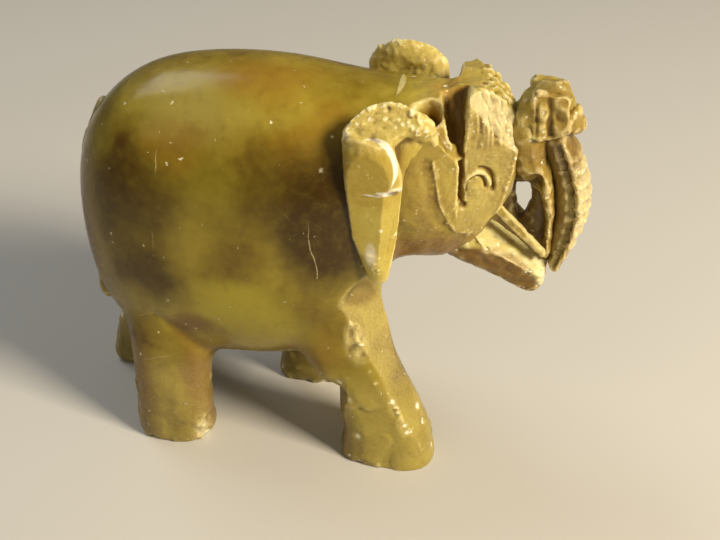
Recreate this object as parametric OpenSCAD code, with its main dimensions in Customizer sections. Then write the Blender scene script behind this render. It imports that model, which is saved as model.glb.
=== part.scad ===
// A standing elephant carved from one piece of green stone.
// +X runs towards the head, +Y to the animal's left and +Z up.
// The origin is on the ground, under the middle of the figure's box.
// Each module is one carved region, and the regions meet face to face.

/* [Figure] */
// Length from the back of the rear foot to the front of the trunk
figure_l = 63.5; // [50:0.5:80]
// Width across the flanks
figure_w = 25.2; // [20:0.2:32]
// Height of the back above the ground
figure_h = 49.8; // [40:0.2:64]

/* [Ears] */
// Thickness of an ear at its middle
ear_t = 2.8; // [2:0.1:4]
// How far the ear's tip hangs below its top
ear_drop = 21; // [16:0.5:24]

/* [Legs] */
// Length of a foot from heel to toe
foot_l = 10.4; // [8:0.2:12]
// Width of a foot
foot_w = 7.8; // [6:0.2:9]

/* [Trunk and tusks] */
// Width of the trunk from side to side
trunk_w = 6.4; // [4:0.2:8]
// Number of folds carved across the front of the trunk
trunk_folds = 8; // [5:1:12]
// Thickness of a tusk
tusk_t = 1.9; // [1.4:0.1:2.6]

/* [Hidden] */
// The shapes below are laid out on a figure of this size and scaled to the one above
base_l = 63.5;
base_w = 25.2;
base_h = 49.8;
kx = figure_l / base_l;
ky = figure_w / base_w;
kz = figure_h / base_h;
// The right tusk stands clear of the jaw and the left one lies along it
right_tusk_lift = 3;
// Flatness of the flanks: 2 is an ellipse, more is boxier
flank_power = 2.25;
sole_power = 3;
ring_sides = 36;
sole_sides = 32;
blob_fn = 18;
// Planes where the torso ends and the head begins
neck_x = 9.5 * kx;
head_x = 14 * kx;
// A block larger than the figure, for cutting it at those planes
block = 2 * figure_l;
skin = 0.01;

// Stations along the back from rump to face: x, half width, underside, top
back_stations = [
    [-28.2, 2.6, 26.0, 34.5],
    [-27.7, 5.0, 21.5, 38.6],
    [-25.6, 8.2, 16.2, 42.8],
    [-22.0, 10.7, 12.8, 46.3],
    [-17.0, 12.0, 11.2, 48.6],
    [-10.0, 12.5, 10.8, 49.6],
    [-3.0, 12.5, 11.4, 49.5],
    [3.0, 12.0, 13.8, 48.5],
    [7.0, 10.8, 19.6, 48.0],
    [9.6, 9.4, 26.2, 47.9],
    [13.0, 7.8, 26.8, 48.0],
    [16.2, 7.0, 26.8, 48.5],
    [18.8, 6.2, 28.6, 48.6],
    [21.0, 5.0, 32.2, 47.8],
    [22.6, 3.6, 35.5, 45.8],
    [23.2, 2.0, 38.5, 43.8],
];

// A coordinate of a boxy ellipse: v is a sine or cosine, power 2 leaves it as it is
function boxy(v, power) = sign(v) * pow(abs(v), 2 / power);

// One ring of the body at a station, from the side of the belly round over the back
function body_ring(s) = [
    for (i = [0 : ring_sides - 1])
        let (
            a = 360 * i / ring_sides,
            half_h = (s[3] - s[2]) / 2
        )
        [
            s[0] * kx,
            -s[1] * ky * boxy(cos(a), flank_power),
            (s[2] + half_h + half_h * boxy(sin(a), flank_power)) * kz
        ]
];

// The outline of a flat slice through a leg, of unit half length and half width
function leg_outline() = [
    for (i = [0 : sole_sides - 1])
        let (a = 360 * i / sole_sides)
        [boxy(cos(a), sole_power), boxy(sin(a), sole_power)]
];

// The outline of the whole body from rump to face, without legs or ears
module body_form() {
    rings = [for (s = back_stations) each body_ring(s)];
    last = len(back_stations) - 1;
    walls = [
        for (r = [0 : last - 1], i = [0 : ring_sides - 1])
            let (
                a = r * ring_sides + i,
                b = r * ring_sides + (i + 1) % ring_sides
            )
            each [[a, b, a + ring_sides], [b, b + ring_sides, a + ring_sides]]
    ];
    rump = [for (i = [0 : ring_sides - 1]) ring_sides - 1 - i];
    face = [for (i = [0 : ring_sides - 1]) last * ring_sides + i];
    polyhedron(rings, concat([rump], walls, [face]), convexity = 4);
}

// A rounded lump at [x, y, z] with its three radii
module blob(place, radii) {
    translate([place[0] * kx, place[1] * ky, place[2] * kz])
        scale(radii)
            sphere(r = 1, $fn = blob_fn);
}

// Lumps joined one to the next: each is [place, radii]
module chain(lumps) {
    for (i = [0 : len(lumps) - 2])
        hull() {
            blob(lumps[i][0], lumps[i][1]);
            blob(lumps[i + 1][0], lumps[i + 1][1]);
        }
}

// Flat slices of a leg joined one to the next: each is [x, y, z, length, width]
module leg(slices) {
    for (i = [0 : len(slices) - 2])
        hull() {
            leg_slice(slices[i]);
            leg_slice(slices[i + 1]);
        }
}

module leg_slice(s) {
    translate([s[0] * kx, s[1] * ky, s[2] * kz])
        linear_extrude(height = skin)
            scale([s[3] / 2, s[4] / 2])
                polygon(leg_outline());
}

module front_right_leg() {
    color("#7c6f20")
        leg([
            [9.7, -7.6, 0, foot_l * 1.2, foot_w],
            [9.8, -7.5, 4, foot_l * 1.04, foot_w * 0.98],
            [8.2, -7.4, 9, foot_l * 0.98, foot_w * 0.96],
            [5.0, -7.2, 15, foot_l * 1.08, foot_w * 0.96],
            [3.4, -6.9, 22, foot_l * 1.14, foot_w * 0.86],
            [4.0, -5.8, 29, foot_l * 0.8, foot_w * 0.6],
        ]);
}

module front_left_leg() {
    color("#6a5518")
        leg([
            [-2.4, 7.2, 0, foot_l, foot_w],
            [-2.0, 7.2, 4, foot_l * 0.95, foot_w],
            [-0.2, 7.2, 12, foot_l * 0.98, foot_w],
            [2.6, 6.9, 22, foot_l * 1.1, foot_w * 0.86],
            [3.2, 5.8, 29, foot_l * 0.8, foot_w * 0.6],
        ]);
}

module rear_right_leg() {
    color("#75661c")
        leg([
            [-18.1, -7.2, 0, foot_l, foot_w],
            [-18.1, -7.2, 4, foot_l * 0.94, foot_w * 0.98],
            [-17.7, -7.1, 12, foot_l * 0.96, foot_w * 0.96],
            [-17.2, -6.9, 20, foot_l * 1.04, foot_w * 0.86],
            [-16.0, -5.8, 27, foot_l * 0.7, foot_w * 0.6],
        ]);
}

module rear_left_leg() {
    color("#5f4a14")
        leg([
            [-26.6, 7.2, 0, foot_l, foot_w],
            [-26.0, 7.2, 4, foot_l * 0.95, foot_w],
            [-23.4, 7.1, 12, foot_l * 0.98, foot_w * 0.96],
            [-20.0, 6.7, 20, foot_l, foot_w * 0.84],
            [-17.0, 5.6, 27, foot_l * 0.7, foot_w * 0.6],
        ]);
}

module all_legs() {
    front_right_leg();
    front_left_leg();
    rear_right_leg();
    rear_left_leg();
}

// An ear: a broad top that narrows to a hanging lobe, side is -1 right or 1 left
module ear_form(side) {
    t = ear_t / 2;
    drop = ear_drop;
    top = 48.4;
    chain([
        [[12.4, side * 8.0, top - 2.2], [2.4, t, 2.0]],
        [[9.6, side * 8.6, top - 0.6], [3.0, t, 1.8]],
        [[7.2, side * 9.4, top - 3.0], [2.6, t, 3.0]],
        [[8.2, side * 10.6, top - drop * 0.34], [3.2, t, 4.0]],
        [[8.4, side * 10.9, top - drop * 0.62], [2.6, t, 3.6]],
        [[8.8, side * 10.3, top - drop * 0.9], [1.3, t * 0.8, 1.6]],
    ]);
}

// A corner of the forehead, standing up from the crown
module brow_form(side) {
    chain([
        [[15.8, side * 3.8, 47.6], [1.5, 1.6, 1.6]],
        [[18.5, side * 3.9, 48.0], [1.3, 1.7, 1.8]],
        [[20.0, side * 3.6, 46.0], [1.2, 1.5, 1.8]],
    ]);
}

module right_brow() {
    color("#a59447")
        difference() {
            brow_form(-1);
            root_form();
            tip_form();
        }
}

module left_brow() {
    color("#a59447")
        difference() {
            brow_form(1);
            root_form();
            tip_form();
        }
}

module right_ear() {
    color("#8a7c2c")
        ear_form(-1);
}

module left_ear() {
    color("#8a7c2c")
        ear_form(1);
}

// A strip that hangs down the rump and ends in a tuft clear of it
module tail() {
    color("#5a4312")
        chain([
            [[-25.2, 0, 42.0], [1.0, 1.3, 1.6]],
            [[-27.6, 0, 37.0], [1.0, 1.2, 1.6]],
            [[-28.2, 0, 30.0], [1.0, 1.1, 1.6]],
            [[-28.2, 0, 22.0], [1.0, 1.0, 1.6]],
            [[-28.0, 0, 16.4], [1.2, 1.4, 1.8]],
        ]);
}

// A tusk: a thin bar from the cheek down to the jaw's tip, raised by lift
module tusk_form(side, lift) {
    r = tusk_t / 2;
    chain([
        [[21.0, side * 4.0, 32.8 + lift], [r, r, r]],
        [[23.8, side * 3.9, 30.6 + lift], [r, r, r]],
        [[27.0, side * 3.0, 27.4 + lift * 0.8], [r * 0.8, r * 0.8, r * 0.8]],
    ]);
}

module right_tusk_form() {
    tusk_form(-1, right_tusk_lift);
}

module left_tusk_form() {
    tusk_form(1, 0);
}

module right_tusk() {
    color("#93853a")
        right_tusk_form();
}

module left_tusk() {
    color("#93853a")
        left_tusk_form();
}

module jaw_form() {
    chain([
        [[17.6, 0, 29.4], [3.2, 4.4, 3.2]],
        [[22.0, 0, 27.6], [2.8, 4.0, 3.2]],
        [[25.7, 0, 25.2], [2.3, 3.4, 2.9]],
    ]);
}

module lower_jaw() {
    color("#857628")
        difference() {
            jaw_form();
            right_tusk_form();
            left_tusk_form();
        }
}

// The end of the trunk, curled over onto the forehead, with its finger in front
module tip_form() {
    r = trunk_w / 2;
    chain([
        [[23.2, 0, 45.2], [1.5, r * 0.9, 2.2]],
        [[25.2, 0, 46.0], [2.2, r, 3.2]],
        [[26.9, 0, 46.2], [1.5, r, 3.2]],
        [[29.1, 0, 44.4], [1.1, r * 0.45, 1.2]],
    ]);
}

module trunk_tip() {
    color("#8f7d2e")
        tip_form();
}

// Centre line of the rising part of the trunk, t from 0 at its foot to 1 at the tip
function rise(t) = [28.5 - 0.8 * t + 1.93 * sin(180 * t), 0, 26.9 + 15.8 * t];

// The rising part, with a fold standing out at each step
module rise_form() {
    r = trunk_w / 2;
    for (i = [0 : trunk_folds - 1])
        let (
            lower = i / trunk_folds,
            upper = (i + 0.8) / trunk_folds,
            grow = 0.75 + 1.1 * sin(135 * lower)
        )
        hull() {
            blob(rise(lower), [grow, r, 1.0]);
            blob(rise(upper), [grow, r * 0.94, 1.0]);
        }
    for (i = [0 : trunk_folds - 1])
        let (t = (i + 0.5) / trunk_folds)
            hull() {
                blob(rise(t), [0.9, r * 0.9, 1.2]);
                blob(rise(min(1, t + 1 / trunk_folds)), [0.9, r * 0.9, 1.2]);
            }
}

module trunk() {
    color("#9a8836")
        difference() {
            rise_form();
            tip_form();
            jaw_form();
        }
}

// The falling part: a block out of the forehead that thins to a strip beside the rise
module root_form() {
    r = trunk_w / 2;
    chain([
        [[23.6, 0, 43.6], [2.6, r, 3.0]],
        [[24.2, 0, 40.4], [2.2, r, 2.6]],
        [[26.5, 0, 37.6], [0.9, r * 0.95, 1.8]],
        [[27.3, 0, 34.0], [0.7, r * 0.95, 2.0]],
        [[27.4, 0, 29.0], [0.6, r * 0.85, 2.0]],
    ]);
}

module trunk_root() {
    color("#7d6c24")
        difference() {
            root_form();
            tip_form();
            rise_form();
            jaw_form();
            right_tusk_form();
            left_tusk_form();
        }
}

// Everything that the torso, neck and head leave room for
module carved_features() {
    all_legs();
    ear_form(-1);
    ear_form(1);
    jaw_form();
    right_tusk_form();
    left_tusk_form();
    brow_form(-1);
    brow_form(1);
    root_form();
    tip_form();
}

module torso() {
    color("#7a6b1e")
        difference() {
            body_form();
            carved_features();
            tail();
            translate([neck_x, -block / 2, -block / 2])
                cube(block);
        }
}

module neck() {
    color("#6f6220")
        difference() {
            body_form();
            carved_features();
            translate([neck_x - block, -block / 2, -block / 2])
                cube(block);
            translate([head_x, -block / 2, -block / 2])
                cube(block);
        }
}

module head() {
    color("#8b7d2c")
        difference() {
            body_form();
            carved_features();
            translate([head_x - block, -block / 2, -block / 2])
                cube(block);
        }
}

torso();
neck();
head();
right_brow();
left_brow();
right_ear();
left_ear();
trunk_root();
trunk();
trunk_tip();
lower_jaw();
right_tusk();
left_tusk();
front_right_leg();
front_left_leg();
rear_right_leg();
rear_left_leg();
tail();
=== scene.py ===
"""A small elephant carved from one lump of green stone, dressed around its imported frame.

The forms are laid out on a carver's drawing in millimetres, fused into stone by a voxel
remesh, then polished, shaved, grooved and drilled as a carver works. Every finished piece is
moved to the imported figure's own frame, in metres.
"""
from __future__ import annotations

import logging
import math
from dataclasses import dataclass, field, replace
from enum import Enum

import bmesh
import bpy
import numpy as np
from mathutils import Matrix, Vector, noise


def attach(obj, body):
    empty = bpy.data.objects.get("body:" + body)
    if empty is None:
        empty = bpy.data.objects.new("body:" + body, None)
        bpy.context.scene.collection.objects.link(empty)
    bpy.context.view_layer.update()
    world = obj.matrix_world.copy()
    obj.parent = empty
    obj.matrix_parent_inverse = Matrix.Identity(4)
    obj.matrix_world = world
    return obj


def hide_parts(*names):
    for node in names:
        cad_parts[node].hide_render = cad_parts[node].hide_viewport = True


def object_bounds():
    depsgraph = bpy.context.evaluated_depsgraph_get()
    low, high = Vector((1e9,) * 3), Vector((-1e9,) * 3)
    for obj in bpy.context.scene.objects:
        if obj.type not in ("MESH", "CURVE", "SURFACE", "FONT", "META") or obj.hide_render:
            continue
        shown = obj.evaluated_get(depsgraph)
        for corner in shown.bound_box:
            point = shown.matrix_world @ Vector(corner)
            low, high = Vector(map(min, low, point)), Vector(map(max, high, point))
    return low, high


LOG = logging.getLogger("elephant")
Point = tuple[float, float, float]

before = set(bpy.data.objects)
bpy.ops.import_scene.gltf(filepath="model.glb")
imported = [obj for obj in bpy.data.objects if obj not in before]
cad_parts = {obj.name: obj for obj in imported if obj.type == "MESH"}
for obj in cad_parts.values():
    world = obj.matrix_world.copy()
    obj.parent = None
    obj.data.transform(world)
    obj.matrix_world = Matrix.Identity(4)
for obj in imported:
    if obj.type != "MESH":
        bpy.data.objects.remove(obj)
CAD_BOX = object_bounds()


class Side(Enum):
    """The animal's two sides, as the sign of Y."""

    RIGHT = -1
    LEFT = 1


# The sign of Y on each side, the right one first
SIGNS = tuple(side.value for side in Side)


# ---------------------------------------------------------------------------
# The drawing and the clay
# ---------------------------------------------------------------------------


@dataclass(frozen=True)
class Drawing:
    """The carver's drawing: a figure in millimetres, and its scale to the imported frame.

    Attributes:
        length: Drawn length along X, from the rear foot to the trunk.
        width: Drawn width along Y, over the flanks.
        height: Drawn height along Z, from the soles to the brows.
    """

    length: float = 63.6
    width: float = 25.0
    height: float = 49.77

    def to_frame(self) -> Matrix:
        """Returns the matrix that turns drawn millimetres into the frame's metres.

        Returns:
            The matrix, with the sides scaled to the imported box.
        """
        low, high = (Vector(c) for c in CAD_BOX)
        size = high - low
        middle = (low + high) / 2
        scale = Matrix.Diagonal((size.x / self.length, size.y / self.width,
                                 size.z / self.height, 1.0))
        return Matrix.Translation((middle.x, middle.y, low.z)) @ scale


@dataclass(frozen=True)
class Lump:
    """A rounded lump of clay: its centre and its three radii."""

    at: Point
    radii: Point

    def mirrored(self, side: Side) -> Lump:
        """Returns the lump with its Y on the given side."""
        x, y, z = self.at
        return Lump((x, side.value * abs(y), z), self.radii)


def lumps(side: Side, radius: float, *places: Point) -> list[Lump]:
    """Returns round lumps of one radius, with their Y on the given side."""
    return [Lump(at, (radius,) * 3).mirrored(side) for at in places]


@dataclass(frozen=True)
class Slice:
    """A flat boxy-oval slice through a form.

    Attributes:
        at: The slice's centre.
        half: Its half sizes along the two axes of its plane.
        across: True for a slice across X (axes Y and Z), False for one across Z (axes X and Y).
        power: 2 is an ellipse, more is boxier.
    """

    at: Point
    half: tuple[float, float]
    across: bool = True
    power: float = 2.25


class Clay:
    """Closed rough forms gathered in one bmesh, before they are fused."""

    def __init__(self) -> None:
        """Starts with no clay."""
        self.bm = bmesh.new()

    def wrap(self, *lumps: Lump) -> None:
        """Adds lumps wrapped together in their convex hull.

        Args:
            lumps: The lumps.
        """
        bundle = bmesh.new()
        for lump in lumps:
            place = Matrix.Translation(lump.at) @ Matrix.Diagonal((*lump.radii, 1.0))
            bmesh.ops.create_icosphere(bundle, subdivisions=3, radius=1.0, matrix=place)
        bmesh.ops.delete(bundle, geom=bundle.edges[:], context="EDGES_FACES")
        bmesh.ops.convex_hull(bundle, input=bundle.verts[:], use_existing_faces=False)
        loose = [v for v in bundle.verts if not v.link_faces]
        bmesh.ops.delete(bundle, geom=loose, context="VERTS")
        made = bpy.data.meshes.new("bundle")
        bundle.to_mesh(made)
        bundle.free()
        self.bm.from_mesh(made)
        bpy.data.meshes.remove(made)

    def chain(self, lumps: list[Lump]) -> None:
        """Adds lumps stretched one to the next, each pair wrapped together."""
        for pair in zip(lumps, lumps[1:]):
            self.wrap(*pair)

    def loft(self, slices: list[Slice], sides: int = 48) -> None:
        """Adds a skin over slices, closed at both ends.

        Args:
            slices: The slices in order, from one end to the other.
            sides: How many points go round each slice.
        """
        loops = []
        for part in slices:
            made = bmesh.ops.create_circle(self.bm, cap_ends=False, segments=sides, radius=1.0)
            for v in made["verts"]:
                a, b = (math.copysign(abs(c) ** (2 / part.power), c) for c in v.co.xy)
                a, b = a * part.half[0], b * part.half[1]
                offset = Vector((0, a, b)) if part.across else Vector((a, b, 0))
                v.co = Vector(part.at) + offset
            loops.append(list({e for v in made["verts"] for e in v.link_edges}))
        for first, second in zip(loops, loops[1:]):
            bmesh.ops.bridge_loops(self.bm, edges=first + second)
        for end in (loops[0], loops[-1]):
            bmesh.ops.edgeloop_fill(self.bm, edges=end)

    def fused(self, name: str, voxel: float) -> bpy.types.Mesh:
        """Fuses everything into one closed skin.

        Args:
            name: The mesh's name.
            voxel: The size of the remesh's voxels, in millimetres.

        Returns:
            The fused mesh, still in drawn millimetres.
        """
        bmesh.ops.recalc_face_normals(self.bm, faces=self.bm.faces)
        rough = bpy.data.meshes.new(name + "_rough")
        self.bm.to_mesh(rough)
        self.bm.free()
        holder = bpy.data.objects.new(name + "_rough", rough)
        bpy.context.scene.collection.objects.link(holder)
        remesh = holder.modifiers.new("fuse", "REMESH")
        remesh.mode = "VOXEL"
        remesh.voxel_size = voxel
        seen = holder.evaluated_get(bpy.context.evaluated_depsgraph_get())
        mesh = bpy.data.meshes.new_from_object(seen)
        mesh.name = name
        bpy.data.objects.remove(holder)
        bpy.data.meshes.remove(rough)
        return mesh


def between(stations: list[tuple[float, ...]], steps: int) -> list[tuple[float, ...]]:
    """Puts extra stations on a smooth curve through the given ones.

    Args:
        stations: Rows of numbers along a form.
        steps: How many rows come from each gap.

    Returns:
        The given rows and the new ones, in order.
    """
    rows = np.array(stations)
    padded = np.vstack([rows[0], rows, rows[-1]])
    out = []
    for i in range(len(rows) - 1):
        a, b, c, d = padded[i:i + 4]
        for t in np.linspace(0, 1, steps, endpoint=False):
            out.append(0.5 * (2 * b + (c - a) * t + (2 * a - 5 * b + 4 * c - d) * t**2
                              + (3 * b - a - 3 * c + d) * t**3))
    return [tuple(row) for row in [*out, rows[-1]]]


def fade(distance: np.ndarray, inner: float, outer: float) -> np.ndarray:
    """Returns 1 up to inner, 0 past outer and a smooth fall between them."""
    t = np.clip((outer - distance) / (outer - inner), 0.0, 1.0)
    return t * t * (3 - 2 * t)


# The most rubbing passes, the most cuts and the most points looked at in one go
MOST_PASSES = 420
MOST_CUTS = 900
POINTS_AT_ONCE = 4096


class Carving:
    """A fused lump whose surface points are moved as a carver's tools would."""

    def __init__(self, mesh: bpy.types.Mesh) -> None:
        """Reads a fused mesh.

        Args:
            mesh: The mesh, in drawn millimetres.
        """
        self.mesh = mesh
        self.count = len(mesh.vertices)
        points = np.empty(self.count * 3)
        mesh.vertices.foreach_get("co", points)
        self.points = points.reshape(-1, 3)
        ends = np.empty(len(mesh.edges) * 2, dtype=np.int64)
        mesh.edges.foreach_get("vertices", ends)
        self.first, self.second = ends[0::2], ends[1::2]
        ways = np.bincount(ends, minlength=self.count)
        self.ways = np.maximum(ways, 1)[:, None]
        self.worked = np.zeros(self.count)

    def _around(self, values: np.ndarray) -> np.ndarray:
        """Returns each point's mean of its neighbours' values.

        Args:
            values: A row of numbers for each point.

        Returns:
            The means, in the same shape.
        """
        total = np.empty_like(values)
        for axis in range(values.shape[1]):
            column = values[:, axis]
            total[:, axis] = (
                np.bincount(self.first, column[self.second], self.count)
                + np.bincount(self.second, column[self.first], self.count))
        return total / self.ways

    def _outward(self) -> np.ndarray:
        """Writes the points to the mesh and returns its outward direction at each.

        Returns:
            One direction of length 1 for each point.
        """
        self.mesh.vertices.foreach_set("co", self.points.ravel())
        self.mesh.update()
        normals = np.empty(self.count * 3)
        self.mesh.vertices.foreach_get("normal", normals)
        return normals.reshape(-1, 3)

    def within(self, centre: Point, reach: Point | float, soft: float = 0.35) -> np.ndarray:
        """Returns a mask that is 1 round a centre and fades to 0 at its reach.

        Args:
            centre: The middle of the mask.
            reach: The mask's radii, or one radius.
            soft: The part of the reach over which it fades.

        Returns:
            The mask.
        """
        away = np.linalg.norm((self.points - centre) / np.asarray(reach), axis=1)
        return fade(away, 1 - soft, 1.0)

    def beyond(self, at: Point, facing: Point, soft: float = 0.25) -> np.ndarray:
        """Returns a mask that is 1 past a plane, on the side that it faces."""
        direction = np.array(facing) / np.linalg.norm(facing)
        return fade(-((self.points - at) @ direction), 0.0, soft)

    def polish(self, times: int, where: np.ndarray | float = 1.0) -> None:
        """Rubs the surface smooth.

        Args:
            times: How many passes.
            where: A mask of how hard each point is rubbed.
        """
        strength = 0.5 * (where[:, None] if isinstance(where, np.ndarray) else where)
        for _ in range(times):
            self.points += strength * (self._around(self.points) - self.points)

    def shave(self, at: Point, facing: Point, where: np.ndarray | float = 1.0,
              tool: float = 0.0) -> None:
        """Cuts everything beyond a plane down to it.

        Args:
            at: A point on the plane.
            facing: The direction that the cut face looks in.
            where: A mask of where the cut is made.
            tool: How much the cut counts as chiselled, from 0 to 1.
        """
        direction = np.array(facing) / np.linalg.norm(facing)
        over = np.maximum((self.points - at) @ direction, 0.0) * where
        self.points -= over[:, None] * direction
        if tool:
            self.worked = np.maximum(self.worked, tool * fade(-over, -0.08, 0.0))

    def groove(self, path: list[Point], width: float, depth: float, tool: float = 0.6,
               flat: float = 0.0, where: np.ndarray | float = 1.0) -> None:
        """Cuts a groove along a path of straight strokes.

        Args:
            path: The points that the groove runs through, near the surface.
            width: The groove's width.
            depth: Its depth, or with a minus sign the height of a raised cord.
            tool: How much the groove counts as chiselled.
            flat: The part of the width over which its floor is flat.
            where: A mask of where it is cut.
        """
        away = np.full(self.count, np.inf)
        for start, end in zip(path, path[1:]):
            a, run = np.array(start), np.subtract(end, start)
            along = np.clip((self.points - a) @ run / (run @ run), 0, 1)
            away = np.minimum(away, np.linalg.norm(
                self.points - (a + along[:, None] * run), axis=1))
        cut = fade(away, width / 2 * flat, width / 2) * where
        self.points -= self._outward() * (depth * cut)[:, None]
        self.worked = np.maximum(self.worked, tool * cut)

    def seat(self, s: int, *places: tuple[float, float]) -> list[Point]:
        """Returns places given by X and Z on the outermost surface of one side.

        Args:
            s: The side's sign.
            places: Pairs of X and Z.

        Returns:
            The points on the surface.
        """
        path = []
        for x, z in places:
            away = np.hypot(self.points[:, 0] - x, self.points[:, 2] - z)
            out = np.where(away < max(0.35, away.min() * 1.2), self.points[:, 1] * s, -np.inf)
            path.append((x, float(self.points[out.argmax(), 1]), z))
        return path

    def stipple(self, path: list[Point], count: int, radius: float, seed: int) -> None:
        """Raises small bright crumbs at random along a path.

        Args:
            path: The points that the path runs through.
            count: How many crumbs.
            radius: The size of a crumb.
            seed: The seed of where they lie.
        """
        draw = np.random.default_rng(seed)
        stops = np.array(path)
        for _ in range(count):
            t = draw.uniform(0, len(stops) - 1.001)
            i = int(t)
            spot = stops[i] + (stops[i + 1] - stops[i]) * (t - i) + draw.normal(0, radius, 3)
            spot = self.points[np.linalg.norm(self.points - spot, axis=1).argmin()]
            crumb = self.within(tuple(spot), radius * draw.uniform(0.7, 1.5), 0.4)
            self.points += self._outward() * (crumb * radius * 0.3)[:, None]
            self.worked = np.maximum(self.worked, crumb * draw.uniform(0.82, 1.0))

    def drill(self, at: Point, along: Point, radius: float, depth: float) -> None:
        """Sinks a hole with a sloping wall.

        Args:
            at: The middle of the hole's mouth.
            along: The direction that the hole goes in.
            radius: The mouth's radius.
            depth: How deep it goes.
        """
        direction = np.array(along) / np.linalg.norm(along)
        offset = self.points - at
        deep = offset @ direction
        away = np.linalg.norm(offset - deep[:, None] * direction, axis=1)
        near = fade(away, radius * 0.55, radius) * fade(np.abs(deep), radius * 2, radius * 3)
        self.points += direction * (near * depth)[:, None]
        self.worked = np.maximum(self.worked, 0.2 * near)

    def swell(self, at: Point, reach: Point | float, height: float) -> None:
        """Raises a rounded mound, or sinks a hollow where the height is negative."""
        self.points += self._outward() * (self.within(at, reach, 1.0) * height)[:, None]

    def tremble(self, size: float, depth: float, where: np.ndarray | float = 1.0,
                seed: float = 0.0, tall: float = 1.0) -> None:
        """Moves the surface in and out by smooth noise.

        Args:
            size: The size of the noise's waves.
            depth: How far it moves the surface.
            where: A mask of where it does.
            seed: An offset that picks another pattern.
            tall: How much longer the waves are along Z, as a chisel's strokes are.
        """
        shift = Vector((seed, seed * 1.7, -seed))
        shrink = np.array([size, size, size * tall])
        wave = np.array([noise.noise(Vector(p) + shift) for p in self.points / shrink])
        self.points += self._outward() * (wave * depth * where)[:, None]

    def chisel(self, size: float, depth: float, where: np.ndarray, seed: int) -> None:
        """Breaks the surface into small flat cuts at slight tilts to each other.

        Args:
            size: The usual distance between two cuts.
            depth: The height of the steps between them.
            where: A mask of where the tool went.
            seed: The seed of the pattern.
        """
        draw = np.random.default_rng(seed)
        spot = np.flatnonzero(where > 0.05)
        if not len(spot):
            return
        part = self.points[spot]
        low, high = part.min(0), part.max(0)
        cells = max(4, int(np.prod(high - low) / size**3))
        seeds = draw.uniform(low, high, (min(cells, MOST_CUTS), 3))
        tilts = draw.normal(0, 1, (len(seeds), 3))
        nearest = np.empty(len(part), dtype=np.int64)
        for start in range(0, len(part), POINTS_AT_ONCE):
            block = part[start:start + POINTS_AT_ONCE]
            gaps = ((block[:, None, :] - seeds[None]) ** 2).sum(2)
            nearest[start:start + POINTS_AT_ONCE] = gaps.argmin(1)
        height = ((part - seeds[nearest]) * tilts[nearest]).sum(1) / size
        move = np.clip(height, -1.5, 1.5) * depth * where[spot]
        self.points[spot] += self._outward()[spot] * move[:, None]
        self.worked = np.maximum(self.worked, 0.7 * where)

    def chip(self, count: int, radius: float, depth: float, seed: int,
             where: np.ndarray | float = 1.0) -> None:
        """Knocks small flakes off the sharpest edges.

        Args:
            count: How many flakes.
            radius: The size of a flake.
            depth: How deep it goes.
            seed: The seed of where they fall.
            where: A mask of where they may fall.
        """
        draw = np.random.default_rng(seed)
        weight = np.clip(self.sharpness(), 0, 1) ** 2 * where
        if weight.sum() <= 0:
            return
        outward = self._outward()
        for spot in draw.choice(self.count, count, p=weight / weight.sum()):
            away = np.linalg.norm(self.points - self.points[spot], axis=1)
            hit = fade(away, radius * 0.3, radius * draw.uniform(0.6, 1.4))
            self.points -= outward[spot] * (hit * depth)[:, None]
            self.worked = np.maximum(self.worked, hit)
        self.polish(1, 0.6)

    def sharpness(self) -> np.ndarray:
        """Returns how convex the surface is at each point: edges near 1, creases near -1.

        Returns:
            One number for each point.
        """
        outward = self._outward()
        bend = self._around(self.points) - self.points
        length = np.linalg.norm(self.points[self.first] - self.points[self.second], axis=1)
        curve = -(bend * outward).sum(1) / length.mean()
        for _ in range(2):
            curve = self._around(curve[:, None])[:, 0]
        return curve * 6

    def relief(self, times: int) -> np.ndarray:
        """Returns how far each point stands out from the same surface rubbed smooth.

        Args:
            times: How many rubbing passes the smooth surface has had.

        Returns:
            The heights in millimetres, less than 0 in a hollow.
        """
        smooth = self.points.copy()
        for _ in range(times):
            smooth += 0.8 * (self._around(smooth) - smooth)
        return ((self.points - smooth) * self._outward()).sum(1)

    def finished(self, fine: float = 0.5, broad: float = 2.2) -> bpy.types.Mesh:
        """Writes the points and the masks back.

        Args:
            fine: The size of the ridges and creases that the masks show, in millimetres.
            broad: The size of the hollows that they show.

        Returns:
            The mesh, with its masks as attributes.
        """
        step = np.linalg.norm(self.points[self.first] - self.points[self.second], axis=1).mean()
        near, far = (self.relief(int(min(MOST_PASSES, 2.0 * (reach / step) ** 2))) / (0.32 * reach)
                     for reach in (fine, broad))
        sharp = self.sharpness()
        for name, values in (("edge", np.clip(sharp, 0, 1)), ("ridge", np.clip(near, 0, 1)),
                             ("crease", np.clip(np.maximum(-near, -far), 0, 1)),
                             ("worked", np.clip(self.worked, 0, 1))):
            # Each half of a cut block still has the masks of the whole block
            if name in self.mesh.attributes:
                self.mesh.attributes.remove(self.mesh.attributes[name])
            layer = self.mesh.attributes.new(name, "FLOAT", "POINT")
            layer.data.foreach_set("value", values.astype(np.float32))
        return self.mesh


# ---------------------------------------------------------------------------
# Finishes
# ---------------------------------------------------------------------------

Colour = tuple[float, float, float, float]


@dataclass(frozen=True)
class Cloud:
    """A cloud of colour in the stone, or a patch of painted shade or highlight.

    Attributes:
        at: Its centre, in millimetres.
        radii: Its radii.
        colour: Its colour.
        strength: How strong it is in the middle.
        edge: The parts of the radii where it ends and where it is full.
    """

    at: Point
    radii: Point
    colour: Colour
    strength: float = 1.0
    edge: tuple[float, float] = (1.2, 0.3)


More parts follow.
